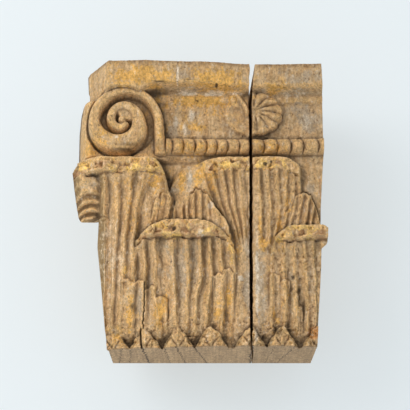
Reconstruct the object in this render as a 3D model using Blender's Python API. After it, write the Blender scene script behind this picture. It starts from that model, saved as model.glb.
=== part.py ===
"""Two carved wooden blocks of a gilded capital, with an opened joint between them.

relief(x, z) gives how far the front stands before the flat back: every carved form lays its own shape
over the ground. It is drawn 290 units high, so that a unit is a millimetre at the block's real height, and
the sizes named here are turned into those units. Each block is a stack of closed plan outlines, from the
foot to the top.
"""
import bpy
import numpy as np

MM = 0.001
HEIGHT = 290.0
UNIT = HEIGHT / 290.0
TOP = HEIGHT / 2 / UNIT
FOOT = -TOP

AXIS = 43.0 / UNIT
BELL_DEPTH = 97.0 / UNIT
BELL_RADIUS = 491.0 / UNIT
FIELD_DEPTH = 94.0 / UNIT
ABACUS_RADIUS = 940.0 / UNIT
LIP_DEPTH = 124.0 / UNIT
FLUTE_CUT = 4.7 / UNIT
JOINT_X = 40.0 / UNIT
JOINT_GAP = 3.3 / UNIT
FINE = 1.9 / UNIT
TRIANGLES = 9300


def rise(low, high, value):
    """0 below low, 1 above high and a soft step between."""
    t = np.clip((value - low) / (high - low), 0.0, 1.0)
    return t * t * (3.0 - 2.0 * t)


def within(low, high, value, soft):
    return rise(low - soft / 2, low + soft / 2, value) * (1.0 - rise(high - soft / 2, high + soft / 2, value))


def lay(depth, mask, form):
    return depth + (form - depth) * mask


def noise(x, z, cell_x, cell_z, seed):
    """Smooth value noise between -1 and 1."""
    lattice = np.random.default_rng(seed).uniform(-1.0, 1.0, (64, 64))
    column = np.floor(x / cell_x).astype(int)
    row = np.floor(z / cell_z).astype(int)
    across = rise(0.0, 1.0, x / cell_x - column)
    up = rise(0.0, 1.0, z / cell_z - row)
    low = lattice[column % 64, row % 64] * (1 - across) + lattice[(column + 1) % 64, row % 64] * across
    high = lattice[column % 64, (row + 1) % 64] * (1 - across)
    high = high + lattice[(column + 1) % 64, (row + 1) % 64] * across
    return low * (1 - up) + high * up


def gouged(s, fall=0.30):
    """Depth of a gouge cut: 0 at the ridges, at whole numbers, and 1 in the bottom just past each."""
    f = s - np.floor(s)
    steep = (f / fall).clip(0.0, 1.0) ** 0.85
    return np.where(f < fall, steep, 1.0 - ((f - fall) / (1.0 - fall)).clip(0.0) ** 1.5)


def flutes(x, z, levels, ridges, seed):
    """Counts the flutes from the left, a whole number at each ridge, and gives their width where they are."""
    s = 0.0 * x + 0.0 * z
    width = s
    weight = s
    for left, right in zip(ridges[:-1], ridges[1:]):
        start = np.interp(z, levels, left)
        end = np.interp(z, levels, right)
        s = s + ((x - start) / (end - start)).clip(0.0, 1.0)
        near = within(start, end, x, 0.5 * (end - start)) + 0.001
        width = width + near * (end - start)
        weight = weight + near
    return s + 0.09 * noise(x, z, 14, 20, seed) + 0.06 * noise(x, z, 6, 9, seed + 100), width / weight


def rolled(low, high, value):
    """1 across the middle of a rounded roll and 0 at its two edges."""
    t = np.clip((value - low) / np.maximum(high - low, 0.5), 0.0, 1.0)
    return np.sqrt(np.clip(1.0 - (2.0 * t - 1.0) ** 4, 0.0, 1.0))


def bell(x):
    return BELL_DEPTH - (x - AXIS) ** 2 / (2 * BELL_RADIUS)


def swell(x):
    """How far the curved abacus comes forward away from the axis."""
    return np.minimum((x - AXIS) ** 2 / (2 * ABACUS_RADIUS), 12.0)


def overhang(x):
    """How much further the abacus stands out between its corner and the joint."""
    return 7.0 * (1 - rise(-10, 46, x)) * rise(-110, -60, x)


def ground(x, z):
    """The plain block: bell, field, fillet, hollow and abacus with its cut-back corner."""
    depth = lay(bell(x), rise(44.0, 52.0, z), FIELD_DEPTH + swell(x))
    slip = np.interp(x, [-132.0, -115.0, -100.0, -76.0, -66.0, -56.0], [20.0, 17.0, 12.0, 9.0, 4.0, 0.0])
    level = z + slip * (1 - rise(122.0, 136.0, z))
    heights = [106.5, 109.5, 113.5, 115.8, 116.8, 118.8, 121.4, 123.4, 129.0, 138.0, 145.0]
    steps = [0.0, 3.0, 4.2, 3.0, 4.0, 8.0, 14.0, 16.6, 17.8, 18.6, 18.0]
    depth = depth + np.interp(level, heights, steps) + overhang(x) * rise(118.0, 125.0, level)
    chamfer = 2.07 * np.clip(-104.3 - x, 0.0, 30.0) + 1.5 * np.clip(-125.5 - x, 0.0, 6.0)
    return depth - rise(50.0, 52.0, z) * chamfer


EYE_X = -90.2
EYE_Z = 86.0
TURN_STEPS = [0, 0.5, 1, 1.5, 2, 2.5, 3, 3.5, 4, 4.5, 5, 5.5, 6, 6.5, 7, 7.6]
TURN_RADII = [36.6, 33.9, 29.4, 27.4, 28.8, 27.5, 25.4, 21.2, 16.0, 15.0, 14.4, 12.7, 11.3, 9.6, 8.2, 5.6]
TURN_HALVES = [4.7, 4.6, 4.0, 6.0, 5.8, 9.9, 11.4, 10.1, 7.3, 6.2, 5.2, 5.1, 5.1, 4.9, 4.8, 3.4]
TURN_CRESTS = [13, 17, 19, 19, 18, 18, 19, 19, 18, 17.5, 17, 16.5, 16, 16, 16, 16]


def volute(x, z, depth):
    """The corner scroll: a band that leaves its stem at the right and winds in to the eye."""
    drum = FIELD_DEPTH + 6.0
    dx = x - EYE_X
    dz = z - EYE_Z
    radius = np.hypot(dx, dz)
    angle = np.mod(np.arctan2(dz, dx), 2 * np.pi)
    flank = drum + 3.0 - 0.16 * np.clip(-121.0 - x, 0.0, 20.0) ** 2 - 6.0 * rise(-62.0, -52.0, x)
    flank = flank + 3.0 * np.exp(-(((x + 124.0) / 6.0) ** 2) - ((z - 58.0) / 9.0) ** 2)
    beside = within(49.0, 110.0, z, 3.0) * (1 - rise(-108.0, -105.0, x))
    below = within(49.0, EYE_Z, z, 1.5) * (1 - rise(-47.5, -46.0, x))
    reach = 36.0 - 5.0 * within(0.45, 1.75, angle / (np.pi / 2), 0.5)
    depth = lay(depth, np.maximum(np.maximum(beside, below), 1 - rise(reach, reach + 2.0, radius)), flank)
    depth = lay(depth, 1 - rise(reach - 2.0, reach + 1.0, radius), drum)
    for turn in range(2):
        quarter = angle / (np.pi / 2) + 4 * turn
        middle = np.interp(quarter, TURN_STEPS, TURN_RADII)
        half = np.interp(quarter, TURN_STEPS, TURN_HALVES)
        crest = np.interp(quarter, TURN_STEPS, TURN_CRESTS)
        across = np.clip(np.abs(radius - middle) / half, 0.0, 1.0)
        groove = 5.0 * within(0.0, 2.6, radius - middle - half, 1.4) * within(1.35, 3.2, quarter, 0.3)
        depth = depth - groove
        band = drum + crest * (1.0 - across**4.5) ** 0.45
        depth = np.where((across < 1) & (quarter < 7.6), np.maximum(depth, band), depth)
    filled = np.maximum(1 - rise(1.3, 1.7, angle / (np.pi / 2)), rise(3.75, 4.0, angle / (np.pi / 2)))
    filling = drum + 2.0 + 12.5 * filled
    depth = np.where(radius < 12.5, np.maximum(depth, filling), depth)
    eye = drum + 2.0 + 15.0 * np.sqrt(np.clip(1.0 - (radius / 5.0) ** 2.5, 0.0, 1.0))
    depth = np.where(radius < 5.0, np.maximum(depth, eye), depth)
    down = EYE_Z - z
    across = np.clip(np.abs(dx - TURN_RADII[0] - 0.055 * down) / (TURN_HALVES[0] + 0.035 * down), 0.0, 1.0)
    stem = drum - 3.0 + (9.0 + 7.0 * rise(51.0, 64.0, z)) * (1.0 - across**4.5) ** 0.45
    return np.where((across < 1) & (z < EYE_Z) & (z > 51.5), np.maximum(depth, stem), depth)


def beads(x, z, depth):
    """The course of close-set beads under the field."""
    middle = 61.2
    half = 8.4
    up = np.clip((z - middle) / half, -1.0, 1.0)
    bow = 2.2 * (1 - up**2)
    s = np.where(x < AXIS - 3, (x + 41.8 - bow) / 11.4, (x - 50.7 - bow) / 14.1)
    s = s + 0.10 * noise(x, 0 * x, 12.0, 1.0, 3)
    bead = (1 - np.abs(2 * (s - np.floor(s)) - 1) ** 2.4) ** 0.5
    form = FIELD_DEPTH + swell(x) + 0.5 + 11.5 * (1 - np.abs(up) ** 2.2) ** 0.5 * (0.15 + 0.85 * bead)
    return lay(depth, within(middle - half, middle + half, z, 0.8) * rise(-47.5, -45.5, x), form)


def rosette(x, z, depth):
    """Petals round the axis: whole to the right of the joint, broken off nearly flush to the left of it."""
    dx = (x - AXIS) / 30.5
    dz = (z - 96.0) / 23.5
    r = np.hypot(dx, dz)
    turn = np.arctan2(dz, dx) + 0.22 * r
    wave = np.abs(np.cos(6.5 * turn + 0.35 + 0.25 * noise(x, z, 9, 9, 6)))
    edge = 0.94 + 0.06 * wave**0.6
    inside = 1 - rise(0.95, 1.0, r / edge)
    dome = FIELD_DEPTH + 7.0 + 6.5 * np.clip(1 - (r / edge) ** 2, 0.0, 1.0) ** 0.4
    form = dome + (3.4 * wave**0.8 - 3.0) * rise(0.08, 0.4, r) + 0.8 * noise(x, z, 4, 3, 7)
    depth = lay(depth, inside * (x > JOINT_X), form)
    scar = FIELD_DEPTH + 2.6 + 2.0 * (1 - r**2).clip(0.0) + 1.2 * noise(x, z, 7, 5, 4)
    scar = scar + 1.0 * within(0.84, 1.0, r, 0.16) * (0.5 + 0.5 * noise(x, z, 9, 9, 9))
    depth = lay(depth, (1 - rise(0.90, 1.02, r)) * (x <= JOINT_X), scar)
    ragged = 2.5 * noise(x, z, 4, 4, 8)
    stub = within(18.5, 30.0, x + ragged, 4.0) * within(104.0, 116.5, z + ragged, 4.0)
    depth = lay(depth, stub, FIELD_DEPTH + 7.5 + 1.2 * noise(x, z, 3, 3, 5))
    petal = np.abs(x - 37.0 + 0.020 * (z - 92.0) ** 2) / 2.6
    rim = FIELD_DEPTH + 9.5 - 3.0 * np.minimum(petal, 1.0) ** 2
    return lay(depth, (1 - rise(0.8, 1.1, petal)) * within(94.0, 117.0, z, 4.0) * (x <= JOINT_X), rim)


def ribs(x, z, depth, edges, tops, height, fade, lean=0.0):
    """Lobes side by side, raised on what is there: lobe i has edges i and i + 1 and a worn top."""
    raised = depth
    for left, right, top in zip(edges[:-1], edges[1:], tops):
        half = (right - left) / 2
        across = np.clip(np.abs(x - lean * (z - top) - left - half) / half, 0.0, 1.0)
        worn = 1.6 * noise(x, 0 * x, 3.5, 1, int(left) % 50)
        mask = (across < 1) * (1 - rise(-1.4, 1.4, z - top + worn + 0.5 * half * across**2))
        bulge = height * (0.45 + 0.55 * np.sqrt(1 - across**2.5)) + 0.5 * noise(x, z, 2.5, 9, 55)
        raised = np.where(mask > 0, depth + mask * bulge * (1 - rise(0.0, fade, top - z)), raised)
    return raised


def lip(x, z, depth, span, crest, left, right, seed, soft=1.5):
    """The curled-over edge of a leaf, a roll with a worn, lumpy skin."""
    low, top = span
    mask = within(left, right, x, soft) * rise(-1.0, 0.6, z - low) * (1 - rise(-0.8, 0.4, z - top))
    form = crest - 8.0 * (1 - rolled(low - 3.0, top, z)) + 1.3 * noise(x, z, 6.5, 5, seed)
    return lay(depth, mask, form)


def centre_lip(x):
    droop = 8.5 * np.clip((x - 64) / 25, 0, 1) ** 2 + 5.0 * np.clip((14 - x) / 30, 0, 1) ** 2
    return 35.6 - 0.8 * droop + 0.8 * noise(x, 0 * x, 7, 1, 91), 48.8 - droop


def corner_lip(x):
    top = 45.4 - 12.0 * np.clip((-131 - x) / 11, 0, 1) ** 2 - 26.0 * np.clip((x + 68) / 24, 0, 1) ** 4
    low = np.minimum(30.0, top - 11.0 + 6.0 * rise(-60, -48, x)) + 2.0 * np.clip((-125 - x) / 15, 0, 1)
    return low + 0.8 * noise(x, 0 * x, 7, 1, 92), top


def lower_lip(x):
    top = -18.6 - 19.0 * np.clip((-38 - x) / 37, 0, 1) ** 2.2 - 22.0 * np.clip((x + 20) / 42, 0, 1) ** 2.4
    low = np.minimum(-36.2, top - 5.0)
    return low + 1.2 * noise(x, 0 * x, 6, 1, 93), top


def edge_lip(x):
    top = -24.5 - 11.0 * np.clip((82 - x) / 19, 0, 1) ** 2.2 - 3.0 * np.clip((x - 110) / 5, 0, 1) ** 2
    return np.minimum(-39.0, top - 6.0) + 1.0 * noise(x, 0 * x, 6, 1, 94), top


def fluted(x, z, flute, face, low, seed):
    """A leaf's face: gouged flutes that end in small hollows where the face curls out to the lip."""
    curl = 7.0 * rise(-20.0, 1.0, z - low) ** 1.6
    s, width = flute
    cut = FLUTE_CUT * np.clip(width / 11.5, 0.4, 1.1) * (1 + 0.25 * noise(x, z, 13, 30, seed))
    return face + curl - cut * (1 - 0.5 * rise(-3.0, 0.0, z - low)) * gouged(s)


CENTRE_LEVELS = [-42, -2, 46]
CENTRE_RIDGES = [[18, 0, -14], [22, 9.8, -3], [28, 17, 8], [31, 23, 18], [34, 29.8, 28], [50, 50, 47],
                 [58, 59.5, 55], [64, 68.5, 64], [70, 74.5, 75], [76, 83.5, 82], [84, 92, 88.5]]


def centre_leaf(x, z, depth):
    """The upper leaf on the axis, crossed by the joint, and the slope that runs down from it to the left."""
    shoulder = np.interp(x, [-46, -43, -38, -33, -25, -10, 2], [12, 19, 31, 37, 42, 45, 47])
    slope = BELL_DEPTH - 1.0 + 6.0 * rise(-46, 4, x) + 4.0 * (1 - rise(-4, 26, z)) + 2.0 * rise(36, 44, z)
    depth = lay(depth, within(-46, 20, x, 5) * (z > -40) * (1 - rise(-9.0, 3.0, z - shoulder)), slope)
    a = (x - AXIS) / 45.0
    face = BELL_DEPTH + np.interp(z, [-145, -60, -20, 20, 45], [2, 2, 5, 8, 9])
    face = face - 4.0 * np.minimum(np.abs(a), 1.4) ** 3
    flute = flutes(x, z, CENTRE_LEVELS, CENTRE_RIDGES, 11)
    form = fluted(x, z, flute, face, centre_lip(x)[0], 13)
    form = lay(form, 1 - rise(-48, -28, z), face - 0.8)
    left = np.interp(z, CENTRE_LEVELS, CENTRE_RIDGES[0])
    right = np.interp(z, CENTRE_LEVELS, CENTRE_RIDGES[-1])
    mask = rise(-1.0, 7.0, x - left) * (1 - rise(-1.5, 1.5, x - right))
    mask = mask * (1 - rise(-2.0, 0.0, z - centre_lip(x)[1]))
    depth = lay(depth, mask, form)
    crest = LIP_DEPTH - 11.5 - 7.0 * (1 - rise(-10, 18, x))
    return lip(x, z, depth, centre_lip(x), crest, -4.0, 89.0, 12, 12.0)


CORNER_LEVELS = [-145, -30, 0, 33]
CORNER_RIDGES = [[-117, -118, -118, -122], [-106, -107, -107, -107], [-100, -95.6, -93.6, -95.5],
                 [-91, -86, -83, -79], [-80, -77, -73.8, -65], [-68, -62, -54, -47]]


def corner_leaf(x, z, depth):
    """The leaf at the left corner, its near half fluted, its far half seen as a hanging tip."""
    right = np.interp(z, [-145, -50, -38, -18, 6, 12, 26, 34], [-60, -60, -50, -39, -39, -43, -45, -46])
    flute = flutes(x, z, CORNER_LEVELS, CORNER_RIDGES, 21)
    face = BELL_DEPTH + np.interp(z, [-145, -100, -20, 28], [-7, -3, 5, 13])
    face = face + 6.0 * (1 - ((x + 82) / 34) ** 2)
    face = face - 0.25 * np.clip(-107.0 - x, 0, 40) ** 1.6
    form = fluted(x, z, flute, face, np.minimum(corner_lip(x)[0], 30.0), 23)
    top = np.minimum(34.0, corner_lip(x)[1])
    depth = lay(depth, (1 - rise(-1.5, 1.5, x - right)) * (1 - rise(-2.0, 0.0, z - top)), form)
    depth = ribs(x, z, depth, [-57.0, -50.0, -44.0, -38.5], [4, 11, 11.5], 3.0, 45, lean=0.17)
    fold = (z + 12.0 + 0.03 * (x + 125.0) ** 2) / 9.0
    f = fold - np.floor(fold)
    scoop = np.interp(z, [-16, 8, 15, 21, 30], [4.8, 4.2, 2.2, 1.0, 0.5]) * np.sin(np.pi * f**1.7) ** 0.9
    tip = BELL_DEPTH + 2.0 + 9.0 * rise(4.0, 31.0, z) - scoop - 0.22 * np.clip(-128 - x, 0, 20) ** 1.7
    edge = np.interp(z, [-18, 6, 22, 36], [-114, -112, -111.5, -116])
    depth = lay(depth, (1 - rise(-5, 3, x - edge)) * rise(-14.0, -12.6, z) * (1 - rise(31, 33, z)), tip)
    crest = LIP_DEPTH - 29.0 * np.clip((-112 - x) / 28, 0, 1) ** 1.5 - 8.0 * rise(-62, -46, x)
    return lip(x, z, depth, corner_lip(x), crest, -145.0, -44.5, 22)


LOWER_LEVELS = [-145, -96, -72, -38]
LOWER_RIDGES = [[-80, -78, -77, -77], [-68, -67, -66, -67], [-54, -54, -55, -57], [-35, -36, -37.2, -40.8],
                [-26, -23, -23.4, -25], [-17.6, -14.5, -10, -12.2], [-8, -2, 0.8, -1.1], [8, 11, 11.8, 8.1],
                [18, 22.4, 24, 21]]
LOWER_CREST = [-38.2, -29.8, -24.4, -17.5, -10.7, -3.8, 6.0, 16.0]


def lower_crown(x):
    along = [-38, -35, -30, -25.7, -22.6, -18, -16.5, -11, -8, -4.2, -2.2, 2, 3.9, 9.6, 15, 17.2, 18]
    up = [-3, -2, -1, 3.5, 8.3, 13, 15.5, 16, 11.5, 10.7, 5.9, 1.6, -3.6, -9.9, -17, -23.3, -30.4]
    crown = np.interp(x, along, up)
    return crown + 1.2 * noise(x, 0 * x, 2.6, 1, 34)


def lower_leaf(x, z, depth):
    """The leaf of the lower row, with its lobed crest above the lip."""
    crown = lower_crown(x)
    s = np.interp(x + 0.05 * (z + 8), LOWER_CREST, range(len(LOWER_CREST))) + 0.10 * noise(x, z, 5, 8, 35)
    step = 2.0 * rise(-30, -8, x) + 2.5 * rise(-8, 2, x)
    form = BELL_DEPTH + 7.0 + step - (3.4 - 2.0 * rise(-4, 4, x)) * gouged(s) + 0.6 * noise(x, z, 5, 7, 36)
    bed = within(-38.5, 19, x, 1.0) * (z > -45)
    bed = bed * (1 - rise(-1.6 - 4.0 * (1 - rise(-30, -14, x)), 0.8, z - crown))
    depth = lay(depth, bed, form + 2.0 * (1 - rise(-30, -12, z)))
    left = np.interp(z, [-145, -80, -76, -45, -36], [-89, -89, -75.5, -75.5, -70])
    right = np.interp(z, [-145, -100, -69, -50, -40, -30], [19, 22, 24.5, 24, 19, 10])
    flute = flutes(x, z, LOWER_LEVELS, LOWER_RIDGES, 31)
    face = BELL_DEPTH + np.interp(z, [-145, -110, -60, -38], [6, 8, 11, 13]) - 6.0 * ((x + 26) / 52) ** 2
    inside = rise(-2.5, 2.0, x - left) * (1 - rise(-2.0, 1.5, x - right)) * (1 - rise(-34, -31, z))
    depth = lay(depth, inside, fluted(x, z, flute, face, lower_lip(x)[0], 33))
    crest = LIP_DEPTH - 8.0 * rise(-50, -75, x) - 13.0 * rise(0, 20, x)
    return lip(x, z, depth, lower_lip(x), crest, -75.5, 22.0, 32)


EDGE_LEVELS = [-145, -75, -38]
EDGE_RIDGES = [[59.5, 59.5, 60], [74, 74, 72], [84.5, 84.5, 82], [96, 95.3, 92], [103, 103, 101],
               [110, 110, 112]]
EDGE_CREST = [60.5, 67.6, 75, 81.4, 87.6, 95, 101.5, 108]


def edge_crown(x):
    crown = np.interp(x, [60, 66, 72, 75, 82, 84, 92, 100.5, 102.3, 105.4, 107.8, 109.5, 113],
                      [-30, -12, -12, -6, 0, 7.5, 13, 10.3, 3.7, -2.9, -12.8, -20, -26])
    return crown + 1.2 * noise(x, 0 * x, 2.6, 1, 44)


def edge_leaf(x, z, depth):
    """The next lower leaf, cut through by the flat right face."""
    crown = edge_crown(x)
    s = np.interp(x - 0.19 * (z + 12), EDGE_CREST, range(len(EDGE_CREST))) + 0.10 * noise(x, z, 5, 8, 45)
    form = BELL_DEPTH + 7.5 - 3.0 * rise(90, 112, x) - 3.4 * gouged(s) + 0.6 * noise(x, z, 5, 7, 46)
    bed = rise(60, 63, x) * (1 - rise(-1.6 - 3.0 * (1 - rise(74, 90, x)), 0.8, z - crown)) * (z > -45)
    depth = lay(depth, bed, form)
    left = np.interp(z, [-145, -74, -70, -45, -38], [57, 57, 61, 59, 64])
    flute = flutes(x, z, EDGE_LEVELS, EDGE_RIDGES, 41)
    face = BELL_DEPTH + np.interp(z, [-145, -110, -60, -38], [4, 6, 9, 12]) - 4.0 * ((x - 108) / 48) ** 2
    form = fluted(x, z, flute, face, edge_lip(x)[0], 43)
    depth = lay(depth, rise(-2.5, 2.0, x - left) * (1 - rise(-36, -34, z)), form)
    return lip(x, z, depth, edge_lip(x), LIP_DEPTH - 2.0 - 6.0 * rise(82, 64, x), 63.0, 200.0, 42)


def side_lobes(x, z, depth):
    """The stepped small lobes at both sides of each lower leaf."""
    depth = ribs(x, z, depth, [-89.6, -77, -65.9, -55.2, -43.9], [-77, -77.5, -84.5, -94], 3.6, 55)
    depth = ribs(x, z, depth, [1.4, 11.3, 22.4], [-71.5, -67.1], 3.2, 50)
    return ribs(x, z, depth, [57.6, 68.3, 78.4, 85.8, 90.2], [-70.4, -76.6, -88.9, -104.8], 3.6, 55)


FOOT_LEAVES = [-97.0, -65.9, -33.3, -0.3, 38.3, 69.6, 104.0]


def foot_row(x, z, depth):
    """The row of small pointed leaves along the foot, each with a middle rib and a fold to each side."""
    depth = lay(depth, 0.9 * (1 - rise(-139, -124, z)), bell(x) - 3.0)
    for middle in FOOT_LEAVES:
        across = np.abs(x - middle + 1.2 * noise(x, z, 7, 7, 51)) / 16.2
        edge = -124.4 - 21.5 * across**1.35 + 1.3 * noise(x, z, 4, 4, 52)
        face = bell(x) + 11.5 - 3.0 * across + 1.0 * noise(x, z, 6, 5, 53)
        fold = np.abs(z + 134.4 + 26.0 * np.abs(across - 0.45))
        face = face - 2.4 * (1 - rise(0.0, 2.6, fold)) + 1.3 * (1 - rise(0.0, 0.12, across))
        depth = np.maximum(depth, lay(depth, rise(-0.6, 0.8, edge - z) * (across < 1.15), face))
    return depth


def relief(x, z):
    depth = ground(x, z)
    depth = beads(x, z, depth)
    depth = rosette(x, z, depth)
    depth = volute(x, z, depth)
    depth = centre_leaf(x, z, depth)
    depth = corner_leaf(x, z, depth)
    depth = lower_leaf(x, z, depth)
    depth = edge_leaf(x, z, depth)
    depth = side_lobes(x, z, depth)
    return foot_row(x, z, depth)


def left_edge(z):
    """The left outline of the carved front, from the foot up."""
    heights = [-145, -107, -70, -41.5, -14.0, -12.6, -6, 6.5, 21.5, 34.5, 44, 46.5, 84.5, 100, 106, 110.5,
               113, 122, 126, 145]
    edges = [-104, -107.6, -111.5, -114.8, -113.5, -130.7, -134.0, -136.4, -139.4, -141, -138.4, -137.5,
             -137.3, -134.8, -131.8, -127.0, -125.4, -126, -127.5, -128.8]
    return np.interp(z, heights, edges)


def left_wall(z):
    """The plainer return behind the corner, with the same mouldings run round it."""
    heights = [-145, -107, -70, -16, 20, 30, 38, 45, 51, 53, 66, 68, 112, 117, 119.5, 127, 145]
    walls = [-102.5, -105, -108, -111, -112, -116, -116, -110, -110, -115, -115, -110, -110, -112, -120,
             -122, -124]
    return np.interp(z, heights, walls)


def right_wall(z):
    """The flat sawn right face."""
    heights = [-145, -99, -65, -25, 0, 52, 112, 145]
    return np.interp(z, heights, [103.7, 106.9, 109.0, 109.8, 110.6, 114, 113.6, 112])


def right_edge(z):
    """The same face at the front, where the lip of the cut leaf stands out of it."""
    return right_wall(z) + 5.6 * rise(-47, -41, z) * (1 - rise(-28, -23, z))


def joint(z, fraction, right):
    """x of one face of the opened joint, at a fraction of the way from the back to the front."""
    front = JOINT_X + np.interp(z, [-145, 54, 121, 145], [-2.4, -1.6, -1.7, -1.0])
    gape = JOINT_GAP * np.interp(z, [-145, -120, 0, 118, 145], [0.6, 0.97, 1.0, 1.03, 1.64])
    back = JOINT_GAP * np.interp(z, [-145, -60, 60, 145], [0.15, 0.36, 0.48, 0.67])
    lean = np.interp(z, [-145, -100, -20, 145], [3.2, 1.0, -2.2, -2.2])
    middle = front + gape / 2 + lean * (1 - fraction)
    width = back + (gape - back) * fraction
    return middle + (width / 2 if right else -width / 2)


def sag(x, z):
    """How far the hanging tip at the left dips, so that its hem rises towards the block."""
    return 0.3 * np.clip(x + 113.5, -30.0, 0.0) * within(-40.0, 16.0, z, 24.0)


def side_start(z):
    """The share of the way forward where the left return starts to lean out to the front edge."""
    return np.interp(z, [-16, 0, 20, 34, 50], [0.88, 0.85, 0.78, 0.58, 0.45])


def ring(z, right, step):
    """One plan outline, counterclockwise from above: along the front, then round the sides and the back."""
    if right:
        ends = (float(joint(z, 1.0, True)), float(right_edge(z)))
        fixed = np.arange(50.0, 100.0, step)
    else:
        ends = (float(left_edge(z)), float(joint(z, 1.0, False)))
        fixed = np.arange(-100.0, 28.0, step)
    strips = [np.linspace(ends[0], fixed[0], round(26 / step), endpoint=False), fixed]
    strips.append(np.linspace(ends[1], fixed[-1], round(12 / step), endpoint=False)[::-1])
    x = np.concatenate(strips)
    depth = relief(x, np.full_like(x, z))
    outline = list(zip(x, depth))
    for f in [0.95, 0.9, 0.85, 0.75, 0.5, 0.25, 0.0]:
        bulge = (float(right_edge(z)) - float(right_wall(z))) * float(rise(0.82, 0.93, f))
        outline.append((float(right_wall(z)) + bulge if right else float(joint(z, f, False)), depth[-1] * f))
    for f in [0.0, 0.25, 0.45, 0.6, 0.7, 0.79, 0.86, 0.91, 0.95]:
        bulge = (float(left_edge(z)) - float(left_wall(z))) * float(rise(side_start(z), 0.97, f))
        outline.append((float(joint(z, f, True)) if right else float(left_wall(z)) + bulge, depth[0] * f))
    return [(a * UNIT * MM, -b * UNIT * MM, (z + float(sag(a, z))) * UNIT * MM) for a, b in outline]


def material(name, colour):
    made = bpy.data.materials.new(name)
    made.use_nodes = True
    shader = made.node_tree.nodes["Principled BSDF"]
    shader.inputs["Base Color"].default_value = (*colour, 1.0)
    shader.inputs["Roughness"].default_value = 0.8
    shader.inputs["Metallic"].default_value = 0.0
    return made


def block(name, right, colour, share):
    heights = np.linspace(FOOT, TOP, round((TOP - FOOT) / FINE) + 1)
    rings = [ring(z, right, FINE) for z in heights]
    count = len(rings[0])
    faces = [tuple(reversed(range(count)))]
    for j in range(len(rings) - 1):
        for k in range(count):
            n = (k + 1) % count
            faces.append((j * count + k, j * count + n, (j + 1) * count + n, (j + 1) * count + k))
    faces.append(tuple(range((len(rings) - 1) * count, len(rings) * count)))
    mesh = bpy.data.meshes.new(name)
    mesh.from_pydata([p for r in rings for p in r], [], faces)
    mesh.materials.append(material(name, colour))
    made = bpy.data.objects.new(name, mesh)
    bpy.context.collection.objects.link(made)
    fewer = made.modifiers.new("fewer", "DECIMATE")
    fewer.ratio = share * TRIANGLES / (2 * (len(faces) - 2) + 2 * (count - 2))
    return made


for old in list(bpy.data.objects):
    bpy.data.objects.remove(old, do_unlink=True)

block("left_block", False, (0.42, 0.30, 0.17), 0.66)
block("right_block", True, (0.42, 0.29, 0.16), 0.34)
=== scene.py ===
"""The looks of the carved bracket: a finely carved skin of worn, once gilded wood for each of its two blocks.

Forms are laid out in millimetres, with x to the right, z up, and a depth counted forwards from the flat back.
Those up to joint() are the solids' own forms; the finer ones after it are only the skins'.
"""
import math

import bpy
import numpy as np
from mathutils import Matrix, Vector

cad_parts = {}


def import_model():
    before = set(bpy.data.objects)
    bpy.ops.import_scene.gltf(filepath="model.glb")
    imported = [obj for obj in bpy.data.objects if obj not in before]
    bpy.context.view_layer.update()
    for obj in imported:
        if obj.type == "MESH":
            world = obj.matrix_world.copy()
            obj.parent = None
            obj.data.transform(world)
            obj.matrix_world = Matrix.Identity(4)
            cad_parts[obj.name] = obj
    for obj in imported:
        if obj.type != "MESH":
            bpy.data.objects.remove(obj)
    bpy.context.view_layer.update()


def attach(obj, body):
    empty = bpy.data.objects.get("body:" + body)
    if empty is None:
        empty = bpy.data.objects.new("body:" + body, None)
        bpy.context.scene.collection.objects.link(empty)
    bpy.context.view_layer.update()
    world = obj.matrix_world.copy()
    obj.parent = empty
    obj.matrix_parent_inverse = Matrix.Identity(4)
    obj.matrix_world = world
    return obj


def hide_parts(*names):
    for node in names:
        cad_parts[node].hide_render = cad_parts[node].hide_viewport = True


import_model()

MM = 0.001
HEIGHT = 290.0
TOP = HEIGHT / 2
FOOT = -HEIGHT / 2
AXIS = 43.0  # x of the capital's axis, on which the rosette and the upper leaf stand
BELL_DEPTH = 97.0  # of the bell, the ground of the leaves, at the axis
BELL_RADIUS = 491.0
FIELD_DEPTH = 94.0  # of the flat field between beads and abacus
ABACUS_RADIUS = 940.0
LIP_DEPTH = 124.0  # of the leaves' curled lips
FLUTE_CUT = 4.7
JOINT_X = 40.0
JOINT_GAP = 3.3
FINE = 0.9  # between the rows of the skins' grid
LATTICE = 64  # cells after which noise and facets repeat
QUARTER = np.pi / 2


def unit(value):
    """The value, kept between 0 and 1."""
    return np.clip(value, 0.0, 1.0)


def rise(low, high, value):
    """0 below low, 1 above high and a soft step between."""
    t = unit((value - low) / (high - low))
    return t * t * (3.0 - 2.0 * t)


def fall(low, high, value):
    """1 below low, 0 above high and a soft step between."""
    return 1.0 - rise(low, high, value)


def within(low, high, value, soft):
    """1 between low and high, with a soft step at each."""
    return rise(low - soft / 2, low + soft / 2, value) * fall(high - soft / 2, high + soft / 2, value)


def lay(depth, mask, form):
    """Replaces the depth by a form's where the mask is 1."""
    return depth + (form - depth) * mask


def noise(x, z, cell_x, cell_z, seed):
    """Smooth value noise between -1 and 1."""
    lattice = np.random.default_rng(seed).uniform(-1, 1, (LATTICE, LATTICE))
    column = np.floor(x / cell_x).astype(int)
    row = np.floor(z / cell_z).astype(int)
    across = rise(0, 1, x / cell_x - column)
    up = rise(0, 1, z / cell_z - row)
    low, high = [lattice[column % LATTICE, level % LATTICE] * (1 - across)
                 + lattice[(column + 1) % LATTICE, level % LATTICE] * across for level in (row, row + 1)]
    return low * (1 - up) + high * up


def gouged(s):
    """Depth of a gouge cut: 0 at the ridges, at whole numbers, and 1 in the bottom just past each."""
    fall = 0.30
    f = s - np.floor(s)
    steep = (f / fall).clip(0, 1) ** 0.85
    return np.where(f < fall, steep, 1 - ((f - fall) / (1 - fall)).clip(0) ** 1.5)


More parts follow.
